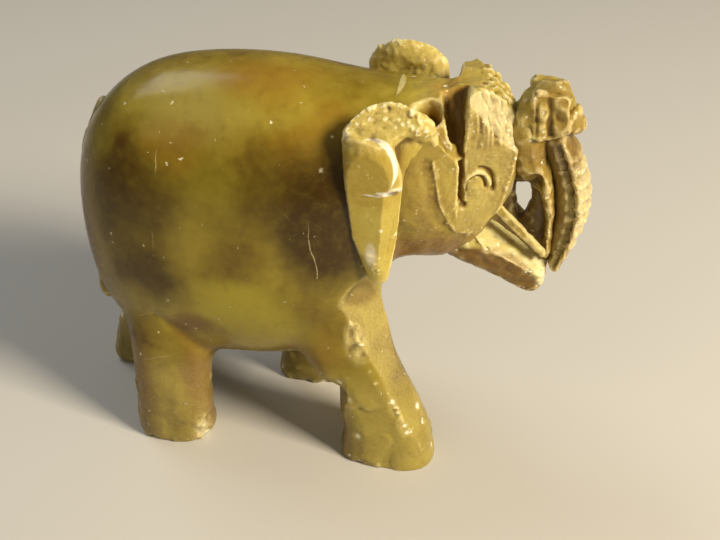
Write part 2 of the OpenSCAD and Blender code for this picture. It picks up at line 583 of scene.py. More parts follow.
class Graph:
    """Builds a material's nodes in short calls."""

    def __init__(self, name: str) -> None:
        """Makes an empty node material.

        Args:
            name: The material's name.
        """
        self.material = bpy.data.materials.new(name)
        self.material.use_nodes = True
        self.nodes = self.material.node_tree.nodes
        self.links = self.material.node_tree.links
        self.nodes.clear()

    def add(self, kind: str, **settings: object) -> bpy.types.Node:
        """Adds a node of a kind and sets its properties.

        Args:
            kind: The node's type, without its prefix.
            settings: Its properties by name.

        Returns:
            The node.
        """
        node = self.nodes.new("ShaderNode" + kind)
        for key, value in settings.items():
            setattr(node, key, value)
        return node

    def feed(self, socket: bpy.types.NodeSocket, value: object) -> None:
        """Links an output to a socket, or sets the socket's own value.

        Args:
            socket: The socket.
            value: An output or a plain value.
        """
        if isinstance(value, bpy.types.NodeSocket):
            self.links.new(value, socket)
        else:
            socket.default_value = value

    def math(self, operation: str, *values: object) -> bpy.types.NodeSocket:
        """Adds a sum of plain numbers.

        Args:
            operation: What is worked out.
            values: What goes in, in order.

        Returns:
            The result.
        """
        node = self.add("Math", operation=operation)
        for socket, value in zip(node.inputs, values):
            self.feed(socket, value)
        return node.outputs[0]

    def ramp(self, value: object, low: float, high: float, out_low: float = 0.0,
             out_high: float = 1.0, smooth: bool = True) -> bpy.types.NodeSocket:
        """Maps a value from one range to another, held at both ends.

        Args:
            value: What is mapped.
            low: Where its range starts.
            high: Where its range ends.
            out_low: The result at the start.
            out_high: The result at the end.
            smooth: Whether the ends are eased.

        Returns:
            The mapped value.
        """
        node = self.add("MapRange", clamp=True)
        node.interpolation_type = "SMOOTHSTEP" if smooth else "LINEAR"
        for socket, given in zip(node.inputs, (value, low, high, out_low, out_high)):
            self.feed(socket, given)
        return node.outputs[0]

    def mix(self, factor: object, first: object, second: object,
            blend: str = "MIX") -> bpy.types.NodeSocket:
        """Mixes two colours.

        Args:
            factor: The share of the second.
            first: The first colour.
            second: The second colour.
            blend: How they mix.

        Returns:
            The mixed colour.
        """
        node = self.add("Mix", data_type="RGBA", blend_type=blend)
        for socket, given in zip((node.inputs[0], node.inputs[6], node.inputs[7]),
                                 (factor, first, second)):
            self.feed(socket, given)
        return node.outputs[2]

    def noise(self, place: bpy.types.NodeSocket, scale: float, detail: float = 3.0,
              rough: float = 0.55, colour: bool = False) -> bpy.types.NodeSocket:
        """Returns a noise pattern's value, or its colour for use as three values.

        Args:
            place: The place on the stone, in millimetres.
            scale: How many waves there are to a millimetre.
            detail: How many finer layers it has.
            rough: How strong the finer layers are.
            colour: Whether three values are wanted.

        Returns:
            The value or the colour.
        """
        node = self.add("TexNoise")
        self.feed(node.inputs["Vector"], place)
        self.feed(node.inputs["Scale"], scale)
        self.feed(node.inputs["Detail"], detail)
        self.feed(node.inputs["Roughness"], rough)
        return node.outputs["Color" if colour else "Fac"]

    def mask(self, name: str) -> bpy.types.NodeSocket:
        """Returns one of the carving's masks."""
        return self.add("Attribute", attribute_name=name).outputs["Fac"]

    def axes(self, value: bpy.types.NodeSocket) -> bpy.types.NodeOutputs:
        """Returns a vector's X, Y and Z outputs.

        Args:
            value: The vector.

        Returns:
            The three outputs, in order.
        """
        node = self.add("SeparateXYZ")
        self.feed(node.inputs[0], value)
        return node.outputs

    def cells(self, place: bpy.types.NodeSocket, scale: float,
              **settings: object) -> tuple[bpy.types.NodeSocket, bpy.types.NodeOutputs]:
        """Adds a pattern of cells.

        Args:
            place: The place on the stone.
            scale: How many cells there are to a millimetre.
            settings: More properties of the pattern's node.

        Returns:
            The distance from a cell's middle, and three random numbers for each cell.
        """
        node = self.add("TexVoronoi", feature="F1", **settings)
        self.feed(node.inputs["Vector"], place)
        self.feed(node.inputs["Scale"], scale)
        lot = self.add("SeparateColor")
        self.feed(lot.inputs[0], node.outputs["Color"])
        return node.outputs["Distance"], lot.outputs

    def surface(self, inputs: dict[str, object], **settings: object) -> bpy.types.Material:
        """Ends the graph in a shader.

        Args:
            inputs: The value or output for each of the shader's inputs, by name.
            settings: Properties of the shader's node.

        Returns:
            The finished material.
        """
        shader = self.add("BsdfPrincipled", **settings)
        for name, value in inputs.items():
            self.feed(shader.inputs[name], value)
        out = self.add("OutputMaterial")
        self.links.new(shader.outputs[0], out.inputs["Surface"])
        return self.material

    def vector(self, operation: str, *values: object) -> bpy.types.Node:
        """Returns a Vector Math node with its inputs fed.

        Args:
            operation: What is worked out.
            values: What goes in, in order.

        Returns:
            The node.
        """
        node = self.add("VectorMath", operation=operation)
        for socket, value in zip(node.inputs, values):
            self.feed(socket, value)
        return node


@dataclass(frozen=True)
class Hair:
    """A hairline scratch on the polished flank: where it starts, where it ends, its width."""

    start: Point
    end: Point
    width: float = 0.10


# Hairline scratches on both flanks
HAIRS = (Hair((1.0, -12.2, 37.0), (2.2, -12.0, 29.0), 0.08),
         Hair((-15.6, -10.0, 42.5), (-16.0, -11.0, 37.5)),
         Hair((-16.0, -11.0, 37.5), (-17.4, -11.0, 34.5)),
         Hair((-2.5, -12.4, 38.0), (0.0, -12.3, 35.6)),
         Hair((-8.0, 12.2, 38.0), (-6.0, 12.2, 30.0)))


# Near white for a crumb of raw stone and a painted highlight on fresh cuts, and a bright pit
PAINTED_GLINT_COLOUR = (0.90, 0.84, 0.58, 1)
FLECK = (0.85, 0.80, 0.55, 1)
MM_IN_METRE = 1000.0


@dataclass(frozen=True)
class GreenStone:
    """Olive-green stone with clouds, pits and scratches, painted shade in its hollows and a painted
    highlight on fresh cuts.

    Attributes:
        name: The material's name.
        body: The stone's main colour.
        light: The colour of its paler veins.
        dark: The colour of its darker veins.
        fresh: The colour of a fresh cut or a worn edge.
        deep: The colour of the painted shade down in hollows and creases.
        gloss: Roughness where it is polished.
        matt: Roughness where it is chiselled.
        worked: How chiselled the whole piece is, whatever its own mask says.
        onset: The drawn X over which the piece's own colours take over from the polished ones.
        clouds: The clouds of colour, in the drawing's millimetres.
        sway: How far the clouds' borders wander, in millimetres.
    """

    name: str
    body: Colour = (0.215, 0.150, 0.011, 1)
    light: Colour = (0.35, 0.27, 0.032, 1)
    dark: Colour = (0.10, 0.048, 0.003, 1)
    fresh: Colour = (0.92, 0.80, 0.42, 1)
    deep: Colour = (0.085, 0.034, 0.002, 1)
    gloss: float = 0.22
    matt: float = 0.5
    worked: float = 0.0
    onset: tuple[float, float] | None = None
    clouds: tuple[Cloud, ...] = ()
    sway: float = 7.0

    def build(self) -> bpy.types.Material:
        """Builds the material.

        Returns:
            The material, with its nodes.
        """
        g = Graph(self.name)
        object_place = g.add("TexCoord").outputs["Object"]
        place = g.vector("MULTIPLY", object_place, (MM_IN_METRE,) * 3).outputs[0]
        drift = g.vector("SUBTRACT", g.noise(place, 0.13, 3.0, colour=True), (0.5, 0.5, 0.5))
        swayed = g.vector("MULTIPLY_ADD", drift.outputs[0], (self.sway,) * 3, place).outputs[0]
        marble = g.noise(swayed, 0.11, 4.0, 0.55)
        colour = self._tones(g, place, marble, (0.42, 0.70, 1.0), (0.46, 0.28, 1.0))
        for cloud in self.clouds:
            offset = g.vector("SUBTRACT", swayed, cloud.at).outputs[0]
            shrunk = g.vector("DIVIDE", offset, cloud.radii).outputs[0]
            away = g.vector("LENGTH", shrunk).outputs["Value"]
            share = g.ramp(away, *cloud.edge, 0.0, cloud.strength)
            colour = g.mix(share, colour, cloud.colour)
        mottle = g.noise(place, 0.9, 4.0, 0.65)
        colour = g.mix(g.ramp(mottle, 0.4, 0.75, 0.0, 0.14), colour, self.light)
        colour = g.mix(g.ramp(mottle, 0.5, 0.25, 0.0, 0.25), colour, self.dark)
        return self._finish(g, place, colour)

    @staticmethod
    def _hair(g: Graph, place: bpy.types.NodeSocket, hair: Hair) -> bpy.types.NodeSocket:
        """Returns a mask that is 1 along one hairline scratch.

        Args:
            g: The graph so far.
            place: The place on the stone, in millimetres.
            hair: The scratch.

        Returns:
            The mask.
        """
        run = Vector(hair.end) - Vector(hair.start)
        offset = g.vector("SUBTRACT", place, hair.start).outputs[0]
        along = g.math("DIVIDE", g.vector("DOT_PRODUCT", offset, tuple(run)).outputs["Value"],
                       run.length_squared)
        along = g.math("MINIMUM", g.math("MAXIMUM", along, 0.0), 1.0)
        near = g.add("VectorMath", operation="SCALE")
        g.feed(near.inputs[0], tuple(run))
        g.feed(near.inputs["Scale"], along)
        away = g.vector("SUBTRACT", offset, near.outputs[0]).outputs[0]
        # A scratch lies on the surface, so its depth along Y is forgiven
        flat = g.vector("MULTIPLY", away, (1.0, 0.15, 1.0)).outputs[0]
        return g.ramp(g.vector("LENGTH", flat).outputs["Value"], hair.width, hair.width * 0.3)

    def _scratches(self, g: Graph, place: bpy.types.NodeSocket,
                   grit: bpy.types.NodeSocket) -> bpy.types.NodeSocket:
        """Returns a mask of short hairlines in three directions, and of the named ones.

        Args:
            g: The graph so far.
            place: The place on the stone, in millimetres.
            grit: Fine noise that breaks the lines up.

        Returns:
            The mask.
        """
        bent = g.vector("MULTIPLY_ADD", g.noise(place, 0.3, 1.0, colour=True), (1.2, 1.2, 1.2),
                        g.vector("SUBTRACT", place, (0.6, 0.6, 0.6)).outputs[0]).outputs[0]
        mask = None
        for turn in (0.12, -0.75, 1.25):
            lie = g.add("Mapping", vector_type="TEXTURE")
            g.feed(lie.inputs["Vector"], bent)
            g.feed(lie.inputs["Rotation"], (math.pi / 2, turn, 0.0))
            g.feed(lie.inputs["Scale"], (1.0, 80.0, 1.0))
            away, lot = g.cells(lie.outputs[0], 0.8, voronoi_dimensions="2D")
            reach = g.math("MULTIPLY_ADD", lot[1], 0.026, 0.012)
            line = g.ramp(g.math("DIVIDE", away, reach), 1.0, 0.4)
            line = g.math("MULTIPLY", line, g.math("GREATER_THAN", lot[0], 0.68))
            mask = line if mask is None else g.math("MAXIMUM", mask, line)
        for hair in HAIRS:
            mask = g.math("MAXIMUM", mask, self._hair(g, bent, hair))
        # The lines are laid out on the flanks, so they end where the surface turns away
        facing = g.axes(g.add("TexCoord").outputs["Normal"])
        flank = g.ramp(g.math("ABSOLUTE", facing[1]), 0.6, 0.85)
        return g.math("MULTIPLY", g.math("MULTIPLY", mask, flank),
                      g.ramp(grit, 0.3, 0.55, 0.3, 1.0))

    def _share(self, g: Graph, place: bpy.types.NodeSocket) -> bpy.types.NodeSocket | float:
        """Returns how far the piece's own colours have taken over at a place.

        Args:
            g: The graph so far.
            place: The place on the stone, in millimetres.

        Returns:
            From 0 to 1, which is 1 everywhere for a piece with no onset.
        """
        if self.onset is None:
            return 1.0
        return g.ramp(g.axes(place)[0], *self.onset)

    def _tones(self, g: Graph, place: bpy.types.NodeSocket, marble: bpy.types.NodeSocket,
               light: Point, dark: Point) -> bpy.types.NodeSocket:
        """Returns the marbled colour.

        Args:
            g: The graph so far.
            place: The place on the stone, in millimetres.
            marble: The marbling's noise.
            light: The noise's range and strength for the paler veins.
            dark: The same for the darker veins.

        Returns:
            The colour, blended from the polished stone's where the piece has an onset.
        """
        colour = None
        finishes = [self] if self.onset is None else [GreenStone("polished"), self]
        for finish in finishes:
            tone = g.mix(g.ramp(marble, light[0], light[1], 0.0, light[2]), finish.body,
                         finish.light)
            tone = g.mix(g.ramp(marble, dark[0], dark[1], 0.0, dark[2]), tone, finish.dark)
            colour = tone if colour is None else g.mix(self._share(g, place), colour, tone)
        return colour

    def _finish(self, g: Graph, place: bpy.types.NodeSocket,
                colour: bpy.types.NodeSocket) -> bpy.types.Material:
        """Adds wear, pits, scratches, painted shade in creases, a painted highlight on fresh cuts
        and the shader.

        Args:
            g: The graph so far.
            place: The place on the stone, in millimetres.
            colour: The stone's colour before wear.

        Returns:
            The finished material.
        """
        worked = g.math("MAXIMUM", g.mask("worked"),
                        g.math("MULTIPLY", self._share(g, place), self.worked))
        edge, crease, ridge = g.mask("edge"), g.mask("crease"), g.mask("ridge")
        grit = g.noise(place, 3.2, 3.0, 0.7)
        # Flecks: sparse bright pits, closer together where the stone is chiselled
        swirl = g.vector("MULTIPLY_ADD", g.noise(place, 3.0, 2.0, colour=True),
                         (0.7, 0.7, 0.7), place).outputs[0]
        away, lot = g.cells(swirl, 0.8)
        rare = g.math("GREATER_THAN", lot[0], g.math("MULTIPLY_ADD", worked, -0.3, 0.64))
        size = g.math("MULTIPLY_ADD", g.math("POWER", lot[1], 3.0), 0.17, 0.06)
        dot = g.ramp(g.math("DIVIDE", away, size), 1.0, 0.6)
        fleck = g.math("MULTIPLY", dot, rare)
        away, lot = g.cells(swirl, 0.33)
        soft = g.ramp(away, 0.12, 0.04, 0.0, 0.5)
        fleck = g.math("MAXIMUM", fleck,
                       g.math("MULTIPLY", soft, g.math("GREATER_THAN", lot[0], 0.85)))
        scratch = self._scratches(g, place, grit)
        fine = g.noise(place, 6.5, 2.0, 0.7)
        wear = g.math("MULTIPLY", g.math("MAXIMUM", g.ramp(edge, 0.35, 1.0),
                                         g.ramp(ridge, 0.3, 1.0)), g.ramp(fine, 0.3, 0.7, 0.3, 1.0))
        cut = g.math("MULTIPLY", worked, g.ramp(grit, 0.3, 0.75, 0.25, 0.7))
        colour = g.mix(g.math("MULTIPLY", cut, 0.7), colour, self.fresh)
        # Painted highlight: the most chiselled cuts and crumbs go towards near white, as light
        # glinting off fresh facets
        painted_glint = g.math("MULTIPLY", g.ramp(worked, 0.85, 1.0), g.ramp(fine, 0.3, 0.55, 0.55, 0.95))
        # Painted shade: creases and hollows are darkened towards the deep colour, more on chiselled
        # pieces
        colour = g.mix(g.ramp(crease, 0.08, 0.7, 0.0, 0.8 if self.worked else 0.5), colour,
                       self.deep)
        colour = g.mix(g.math("MULTIPLY", wear, 0.62), colour, self.fresh)
        colour = g.mix(painted_glint, colour, PAINTED_GLINT_COLOUR)
        colour = g.mix(g.math("MULTIPLY", scratch, 0.45), colour, self.fresh)
        colour = g.mix(g.math("MULTIPLY", fleck, 0.8), colour, FLECK)
        rough = g.math("MULTIPLY_ADD", worked, self.matt - self.gloss, self.gloss)
        mottled = g.noise(place, 0.5, 3.0)
        rough = g.math("ADD", rough, g.ramp(mottled, 0.4, 0.7, 0.0, 0.1))
        rough = g.math("MAXIMUM", rough, g.math("MULTIPLY", fleck, 0.6))
        relief = g.math("MULTIPLY_ADD", fleck, -0.7, g.math("MULTIPLY", scratch, -0.25))
        relief = g.math("ADD", relief, g.math("MULTIPLY", g.math("MULTIPLY", worked, grit), 0.9))
        relief = g.math("ADD", relief, g.math("MULTIPLY", mottled, 0.12))
        bump = g.add("Bump")
        g.feed(bump.inputs["Strength"], 0.5)
        g.feed(bump.inputs["Distance"], 0.00015)
        g.feed(bump.inputs["Height"], relief)
        return g.surface({
            "Base Color": colour, "Roughness": rough, "IOR": 1.55,
            "Subsurface Weight": 0.3, "Subsurface Radius": (1.0, 0.62, 0.12),
            "Subsurface Scale": 0.0016, "Specular IOR Level": 0.27,
            "Normal": bump.outputs[0]}, subsurface_method="RANDOM_WALK")


# Clouds of colour in the stone, and clouds of painted shade where light falls off: later ones lie
# over earlier ones
GLOW = (0.37, 0.30, 0.022, 1)
GREY = (0.33, 0.27, 0.055, 1)
PLUM = (0.043, 0.021, 0.003, 1)
RUST = (0.26, 0.135, 0.010, 1)
# A dark umber for painted shade
SHADE_UMBER = (0.15, 0.065, 0.003, 1)
CLOUDS = (
    Cloud((-11.0, -11.0, 39.0), (7.0, 8.0, 6.5), (0.20, 0.155, 0.013, 1), 0.8),
    Cloud((-12.0, -6.0, 47.0), (7.0, 6.0, 4.5), GREY, 0.8),
    Cloud((-4.5, -3.0, 49.0), (6.0, 5.0, 3.5), RUST, 0.75),
    Cloud((3.0, -7.0, 46.5), (3.5, 4.0, 3.5), RUST, 0.6),
    Cloud((-14.0, -9.0, 43.5), (4.5, 5.0, 3.0), RUST, 0.5),
    Cloud((0.5, -9.0, 43.5), (4.5, 5.0, 3.5), RUST, 0.5),
    Cloud((-18.5, -10.5, 36.5), (6.5, 8.0, 7.0), PLUM, 0.75),
    Cloud((-17.5, -11.5, 27.0), (6.0, 6.0, 5.5), PLUM, 0.8),
    # Painted shade over the rump
    Cloud((-26.5, -5.0, 31.0), (3.5, 9.0, 12.0), SHADE_UMBER, 0.7),
    Cloud((3.6, -11.5, 36.0), (7.5, 8.0, 11.0), PLUM, 0.97, (1.15, 0.45)),
    Cloud((-2.5, -11.5, 39.0), (6.0, 6.0, 5.5), PLUM, 0.65),
    Cloud((-7.0, -12.0, 24.0), (7.5, 7.0, 6.5), GLOW, 0.95),
    # Painted shade in the crease where the belly hangs over the rear leg
    Cloud((-13.0, -11.0, 19.5), (3.5, 5.0, 3.0), SHADE_UMBER, 0.75),
    Cloud((2.0, -9.5, 17.5), (4.5, 5.0, 4.0), RUST, 0.5),
    # Painted shade down the edges of the near legs where they turn away from the light
    Cloud((-21.5, -8.5, 9.0), (2.8, 5.0, 10.0), SHADE_UMBER, 0.9),
    Cloud((-14.0, -8.5, 9.0), (2.4, 4.0, 10.0), SHADE_UMBER, 0.8),
    Cloud((4.0, -8.5, 5.0), (2.4, 5.0, 7.0), SHADE_UMBER, 0.9),
    Cloud((8.0, -11.0, 12.0), (5.0, 3.0, 9.0), (0.34, 0.26, 0.022, 1), 0.6),
    Cloud((-5.0, 11.5, 30.0), (9.0, 7.0, 8.0), PLUM, 0.85),
    Cloud((-17.0, 10.0, 35.0), (8.0, 7.0, 8.0), GLOW, 0.75),
    Cloud((-24.0, 6.0, 24.0), (6.0, 6.0, 6.0), RUST, 0.6),
    Cloud((2.0, 9.0, 42.0), (6.0, 5.0, 6.0), GREY, 0.7),
)
POLISHED = GreenStone("polished_green_stone", clouds=CLOUDS)
CARVED = GreenStone("carved_green_stone", worked=0.25, gloss=0.26, matt=0.42,
                    body=(0.25, 0.168, 0.009, 1), dark=(0.14, 0.066, 0.004, 1),
                    light=(0.38, 0.29, 0.035, 1))
# The head's hollows take a lighter painted shade than the other pieces'
HEAD = replace(
    CARVED, name="head_green_stone", deep=(0.15, 0.065, 0.003, 1), onset=(9.5, 13.5),
    clouds=CLOUDS + (
        # Painted shade under the neck and chin, darker towards the bottom
        Cloud((14.5, 0.0, 26.0), (10.0, 40.0, 7.0), (0.19, 0.086, 0.003, 1), 0.96, (1.12, 0.7)),
        Cloud((15.2, 0.0, 46.0), (2.4, 6.5, 3.2), (0.42, 0.21, 0.012, 1), 0.85)))
JAW = replace(CARVED, name="jaw_green_stone", sway=1.0, worked=0.08,
              body=(0.44, 0.36, 0.09, 1), light=(0.60, 0.54, 0.25, 1),
              dark=(0.36, 0.24, 0.03, 1), clouds=(
                  # Painted shade over the jaw's lower side face, darker towards the bottom
                  Cloud((18.5, 0.0, 23.0), (9.0, 40.0, 6.8), (0.17, 0.078, 0.003, 1), 0.97,
                        (1.03, 0.93)),
                  Cloud((27.2, 0.0, 25.6), (1.3, 4.5, 2.0), (0.80, 0.74, 0.5, 1), 0.7)))
TRUNK = replace(
    CARVED, name="trunk_green_stone", sway=1.0, body=(0.235, 0.14, 0.006, 1), clouds=(
        # Painted shade deep in the drilled opening and down the front of the falling trunk
        Cloud((24.3, 0.0, 33.5), (3.8, 2.5, 6.6), (0.085, 0.036, 0.002, 1), 0.97, (1.1, 0.8)),
        Cloud((27.6, 0.0, 34.0), (1.0, 4.0, 7.5), SHADE_UMBER, 0.8)))
WHITE = (0.86, 0.84, 0.72, 1)
EAR_BODY = (0.40, 0.28, 0.022, 1)
EAR_CLOUDS = tuple(cloud for y in (-11.2, 11.2) for cloud in (
    # A white crescent where the lobe's bulge was ground through, partly the fresh stone's paler
    # colour and partly a painted highlight of its bevel catching the light, and the saw nick below
    # it
    Cloud((8.4, y, 43.4), (2.5, 1.9, 3.4), WHITE, 0.95, (1.02, 0.97)),
    Cloud((7.5, y, 42.4), (2.95, 2.6, 3.85), EAR_BODY, 1.0, (1.02, 0.97)),
    Cloud((8.3, y, 40.05), (1.2, 1.6, 0.16), WHITE, 0.8, (1.05, 0.6)),
    Cloud((9.7, y, 40.4), (1.2, 1.6, 0.32), WHITE, 0.9, (1.05, 0.7)),
    Cloud((10.7, y, 40.75), (1.0, 1.6, 0.48), WHITE, 0.95, (1.05, 0.7)),
    Cloud((8.1, y, 32.6), (0.8, 1.6, 1.9), WHITE, 0.6, (1.1, 0.5)),
    Cloud((5.0, y, 46.4), (0.7, 1.8, 0.6), WHITE, 0.7, (1.2, 0.6)),
    Cloud((4.6, y, 40.0), (1.0, 2.0, 9.0), RUST, 0.7, (1.2, 0.5))))
EAR = replace(CARVED, name="ear_green_stone", body=EAR_BODY, sway=0.5, clouds=EAR_CLOUDS,
              light=(0.50, 0.40, 0.06, 1), dark=(0.22, 0.11, 0.006, 1))


@dataclass
class Dresser:
    """Places finished meshes in the frame and gives them their finish.

    Attributes:
        drawing: The drawing that the meshes are laid out on.
        built: The materials made so far, by name.
    """

    drawing: Drawing
    built: dict[str, bpy.types.Material] = field(default_factory=dict)

    def dress(self, name: str, mesh: bpy.types.Mesh, finish: GreenStone, slot: str,
              *nodes: str) -> bpy.types.Object:
        """Makes a piece of a mesh.

        Args:
            name: The piece's name.
            mesh: Its mesh in drawn millimetres.
            finish: Its finish.
            slot: The record's material slot; not used.
            nodes: The CAD nodes that it stands for.

        Returns:
            The piece, riding on the figure's one body.
        """
        mesh.transform(self.drawing.to_frame())
        mesh.name = name
        if finish.name not in self.built:
            self.built[finish.name] = finish.build()
        mesh.materials.clear()
        mesh.materials.append(self.built[finish.name])
        mesh.shade_smooth()
        piece = bpy.data.objects.new(name, mesh)
        bpy.context.scene.collection.objects.link(piece)
        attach(piece, "root")
        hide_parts(*nodes)
        LOG.info("%s: %d faces", name, len(mesh.polygons))
        return piece


# ---------------------------------------------------------------------------
# Sub-assemblies
# ---------------------------------------------------------------------------


@dataclass
class Block:
    """The torso, neck, head and legs, carved from one block and cut apart at the neck.

    Attributes:
        voxel: The voxel size that the block is fused at.
        neck_x: Where the head's piece begins.
        chest_z: The height that the head's piece stays above.
        back: Rows of x, half width, underside and top from rump to face.
    """

    voxel: float = 0.34
    neck_x: float = 9.5
    chest_z: float = 22.0
    back: tuple[tuple[float, float, float, float], ...] = (
        (-28.2, 2.6, 26.0, 34.5), (-27.7, 5.0, 21.5, 38.6), (-25.6, 8.2, 16.2, 42.8),
        (-22.0, 10.7, 12.8, 46.3), (-17.0, 12.0, 11.2, 48.6), (-10.0, 12.5, 10.8, 49.6),
        (-3.0, 12.5, 11.4, 49.5), (3.0, 12.0, 13.8, 48.6), (7.0, 10.8, 19.6, 48.1),
        (9.6, 9.4, 26.2, 48.0), (13.0, 7.8, 26.8, 48.1), (16.2, 7.0, 27.2, 48.5),
        (18.8, 6.2, 29.0, 48.6), (21.0, 5.0, 32.6, 47.8), (22.6, 3.6, 35.5, 45.8),
        (23.2, 2.0, 38.5, 43.8))
    legs: tuple[tuple[tuple[float, ...], ...], ...] = (
        # x, y, z, half length, half width from the sole up: front right, front left, rears
        ((9.7, -7.6, -0.6, 6.25, 3.9), (9.8, -7.5, 4, 5.4, 3.8), (8.2, -7.4, 9, 5.1, 3.75),
         (5.0, -7.2, 15, 5.6, 3.75), (3.4, -6.9, 22, 5.9, 3.4), (4.0, -5.8, 29, 4.2, 2.3)),
        ((-2.4, 7.2, -0.6, 5.2, 3.9), (-2.0, 7.2, 4, 4.9, 3.9), (-0.2, 7.2, 12, 5.1, 3.9),
         (2.6, 6.9, 22, 5.7, 3.4), (3.2, 5.8, 29, 4.2, 2.3)),
        ((-18.1, -7.2, -0.6, 5.2, 3.9), (-18.1, -7.2, 4, 4.9, 3.8), (-17.7, -7.1, 12, 5.0, 3.75),
         (-17.2, -6.9, 20, 5.4, 3.4), (-16.0, -5.8, 27, 3.6, 2.3)),
        ((-26.6, 7.2, -0.6, 5.2, 3.9), (-26.0, 7.2, 4, 4.9, 3.9), (-23.4, 7.1, 12, 5.1, 3.75),
         (-20.0, 6.7, 20, 5.2, 3.3), (-17.0, 5.6, 27, 3.6, 2.3)))

    def rough(self) -> Carving:
        """Builds the block's rough forms and fuses them.

        Returns:
            The fused block.
        """
        clay = Clay()
        clay.loft([Slice((x, 0, (low + top) / 2), (half, (top - low) / 2))
                   for x, half, low, top in between(list(self.back), 4)])
        for leg in self.legs:
            clay.loft([Slice((x, y, z), (long, wide), across=False, power=2.8)
                       for x, y, z, long, wide in between(list(leg), 3)], sides=36)
        for side in Side:
            # The shield over the eye, and the slab of forehead behind it
            clay.wrap(*lumps(side, 0.7, (17.9, 5.3, 48.9), (20.9, 3.9, 47.8), (22.6, 3.1, 43.2),
                             (22.3, 3.0, 40.0), (21.1, 3.9, 35.6), (18.3, 5.2, 32.6),
                             (17.8, 5.6, 40.0), (17.9, 2.8, 48.8), (20.6, 1.8, 46.8),
                             (21.6, 1.8, 42.0), (18.2, 1.8, 34.0)))
            clay.wrap(*lumps(side, 0.8, (10.8, 8.3, 45.6), (14.0, 7.3, 44.4), (16.6, 6.3, 41.0),
                             (14.8, 7.0, 36.5), (10.4, 8.4, 36.0), (12.4, 6.3, 31.5),
                             (15.0, 5.8, 32.5), (12.0, 4.0, 44.0)))
            clay.wrap(*lumps(side, 0.8, (16.8, 3.9, 48.6), (18.4, 4.2, 48.9), (19.6, 3.2, 48.1),
                             (16.0, 1.4, 48.0), (19.4, 0.8, 47.6), (17.6, 3.0, 45.0)))
        return Carving(clay.fused("block", self.voxel))

    def carve(self, stone: Carving) -> None:
        """Polishes the block and cuts its feet and its belly.

        Args:
            stone: The fused block.
        """
        head = fade(-stone.points[:, 0], -11.5, -8.0)
        stone.polish(44, 1.0 - 0.97 * head)
        stone.polish(2)
        self._legs(stone)
        self._belly(stone)

    def _legs(self, stone: Carving) -> None:
        """Cuts the front leg's ridge and the flat soles.

        Args:
            stone: The polished block.
        """
        front = stone.within((9.0, -10.0, 13.0), (8.0, 8.0, 16.0), 0.2)
        stone.shave((8.9, -10.9, 14.3), (0.815, -0.426, 0.394), front, tool=0.5)
        stone.shave((8.0, -11.1, 5.0), (0.0, -1.0, 0.04),
                    stone.within((6.0, -11.0, 8.0), (9.0, 6.0, 13.0), 0.4))
        stone.shave((4.0, -9.0, 5.0), (-0.95, -0.3, 0.1),
                    stone.within((4.0, -9.0, 6.0), (4.0, 5.0, 9.0), 0.4))
        feet = fade(stone.points[:, 2], 8.0, 16.0)
        stone.chisel(2.4, 0.10, feet, 11)
        stone.worked *= 1 - 0.6 * feet
        stone.shave((0, 0, 0), (0, 0, -1))
        ridge = [(5.0, -11.0, 24.6), (6.6, -11.3, 20.0), (7.6, -11.2, 15.6), (11.2, -11.0, 10.0),
                 (14.6, -10.9, 3.6)]
        stone.groove(ridge, 1.1, -0.16, tool=0.84)
        stone.stipple(ridge, 18, 0.30, 9)
        rough = stone.within((6.6, -10.9, 20.0), (2.2, 2.5, 5.0), 0.5)
        stone.tremble(1.1, 0.5, rough, seed=3.0)
        toe = stone.within((-13.9, -9.6, 1.5), (2.0, 2.6, 4.2), 0.6)
        stone.tremble(1.0, 0.5, toe, seed=5.0)
        stone.worked = np.maximum(stone.worked, np.maximum(0.84 * rough, 0.9 * toe))
        stone.chip(70, 0.9, 0.22, 5, feet)
        stone.shave((0, 0, 0), (0, 0, -1))

    def _belly(self, stone: Carving) -> None:
        """Cuts the line where the belly hangs over the rear leg.

        Args:
            stone: The polished block.
        """
        for s in SIGNS:
            stone.groove([(-18.0, s * 11.4, 20.6), (-15.0, s * 11.0, 18.3),
                          (-12.4, s * 9.6, 14.6)], 2.8, 0.35, tool=0.0)

    def cut(self, stone: Carving) -> tuple[bpy.types.Mesh, bpy.types.Mesh]:
        """Cuts the block at the neck.

        Args:
            stone: The polished block.

        Returns:
            The torso with its legs, and the head, each closed where they part.
        """
        whole = stone.finished()
        halves = []
        for wants_head in (False, True):
            bm = bmesh.new()
            bm.from_mesh(whole)
            high = [f for f in bm.faces if f.calc_center_median().z > self.chest_z]
            rims = {e for f in high for e in f.edges} | {v for f in high for v in f.verts}
            made = bmesh.ops.bisect_plane(bm, geom=high + list(rims), plane_no=(1, 0, 0),
                                          plane_co=(self.neck_x, 0, 0))
            rim = [e for e in made["geom_cut"] if isinstance(e, bmesh.types.BMEdge)]
            away = []
            for face in bm.faces:
                middle = face.calc_center_median()
                in_head = middle.x > self.neck_x and middle.z > self.chest_z
                if in_head != wants_head:
                    away.append(face)
            bmesh.ops.delete(bm, geom=away, context="FACES")
            rim = [e for e in rim if e.is_valid and e.is_boundary]
            for edge in rim:
                edge.smooth = False
            bmesh.ops.triangle_fill(bm, edges=rim, use_beauty=True,
                                    normal=(-1 if wants_head else 1, 0, 0))
            mesh = bpy.data.meshes.new("half")
            bm.to_mesh(mesh)
            bm.free()
            halves.append(mesh)
        return halves[0], halves[1]


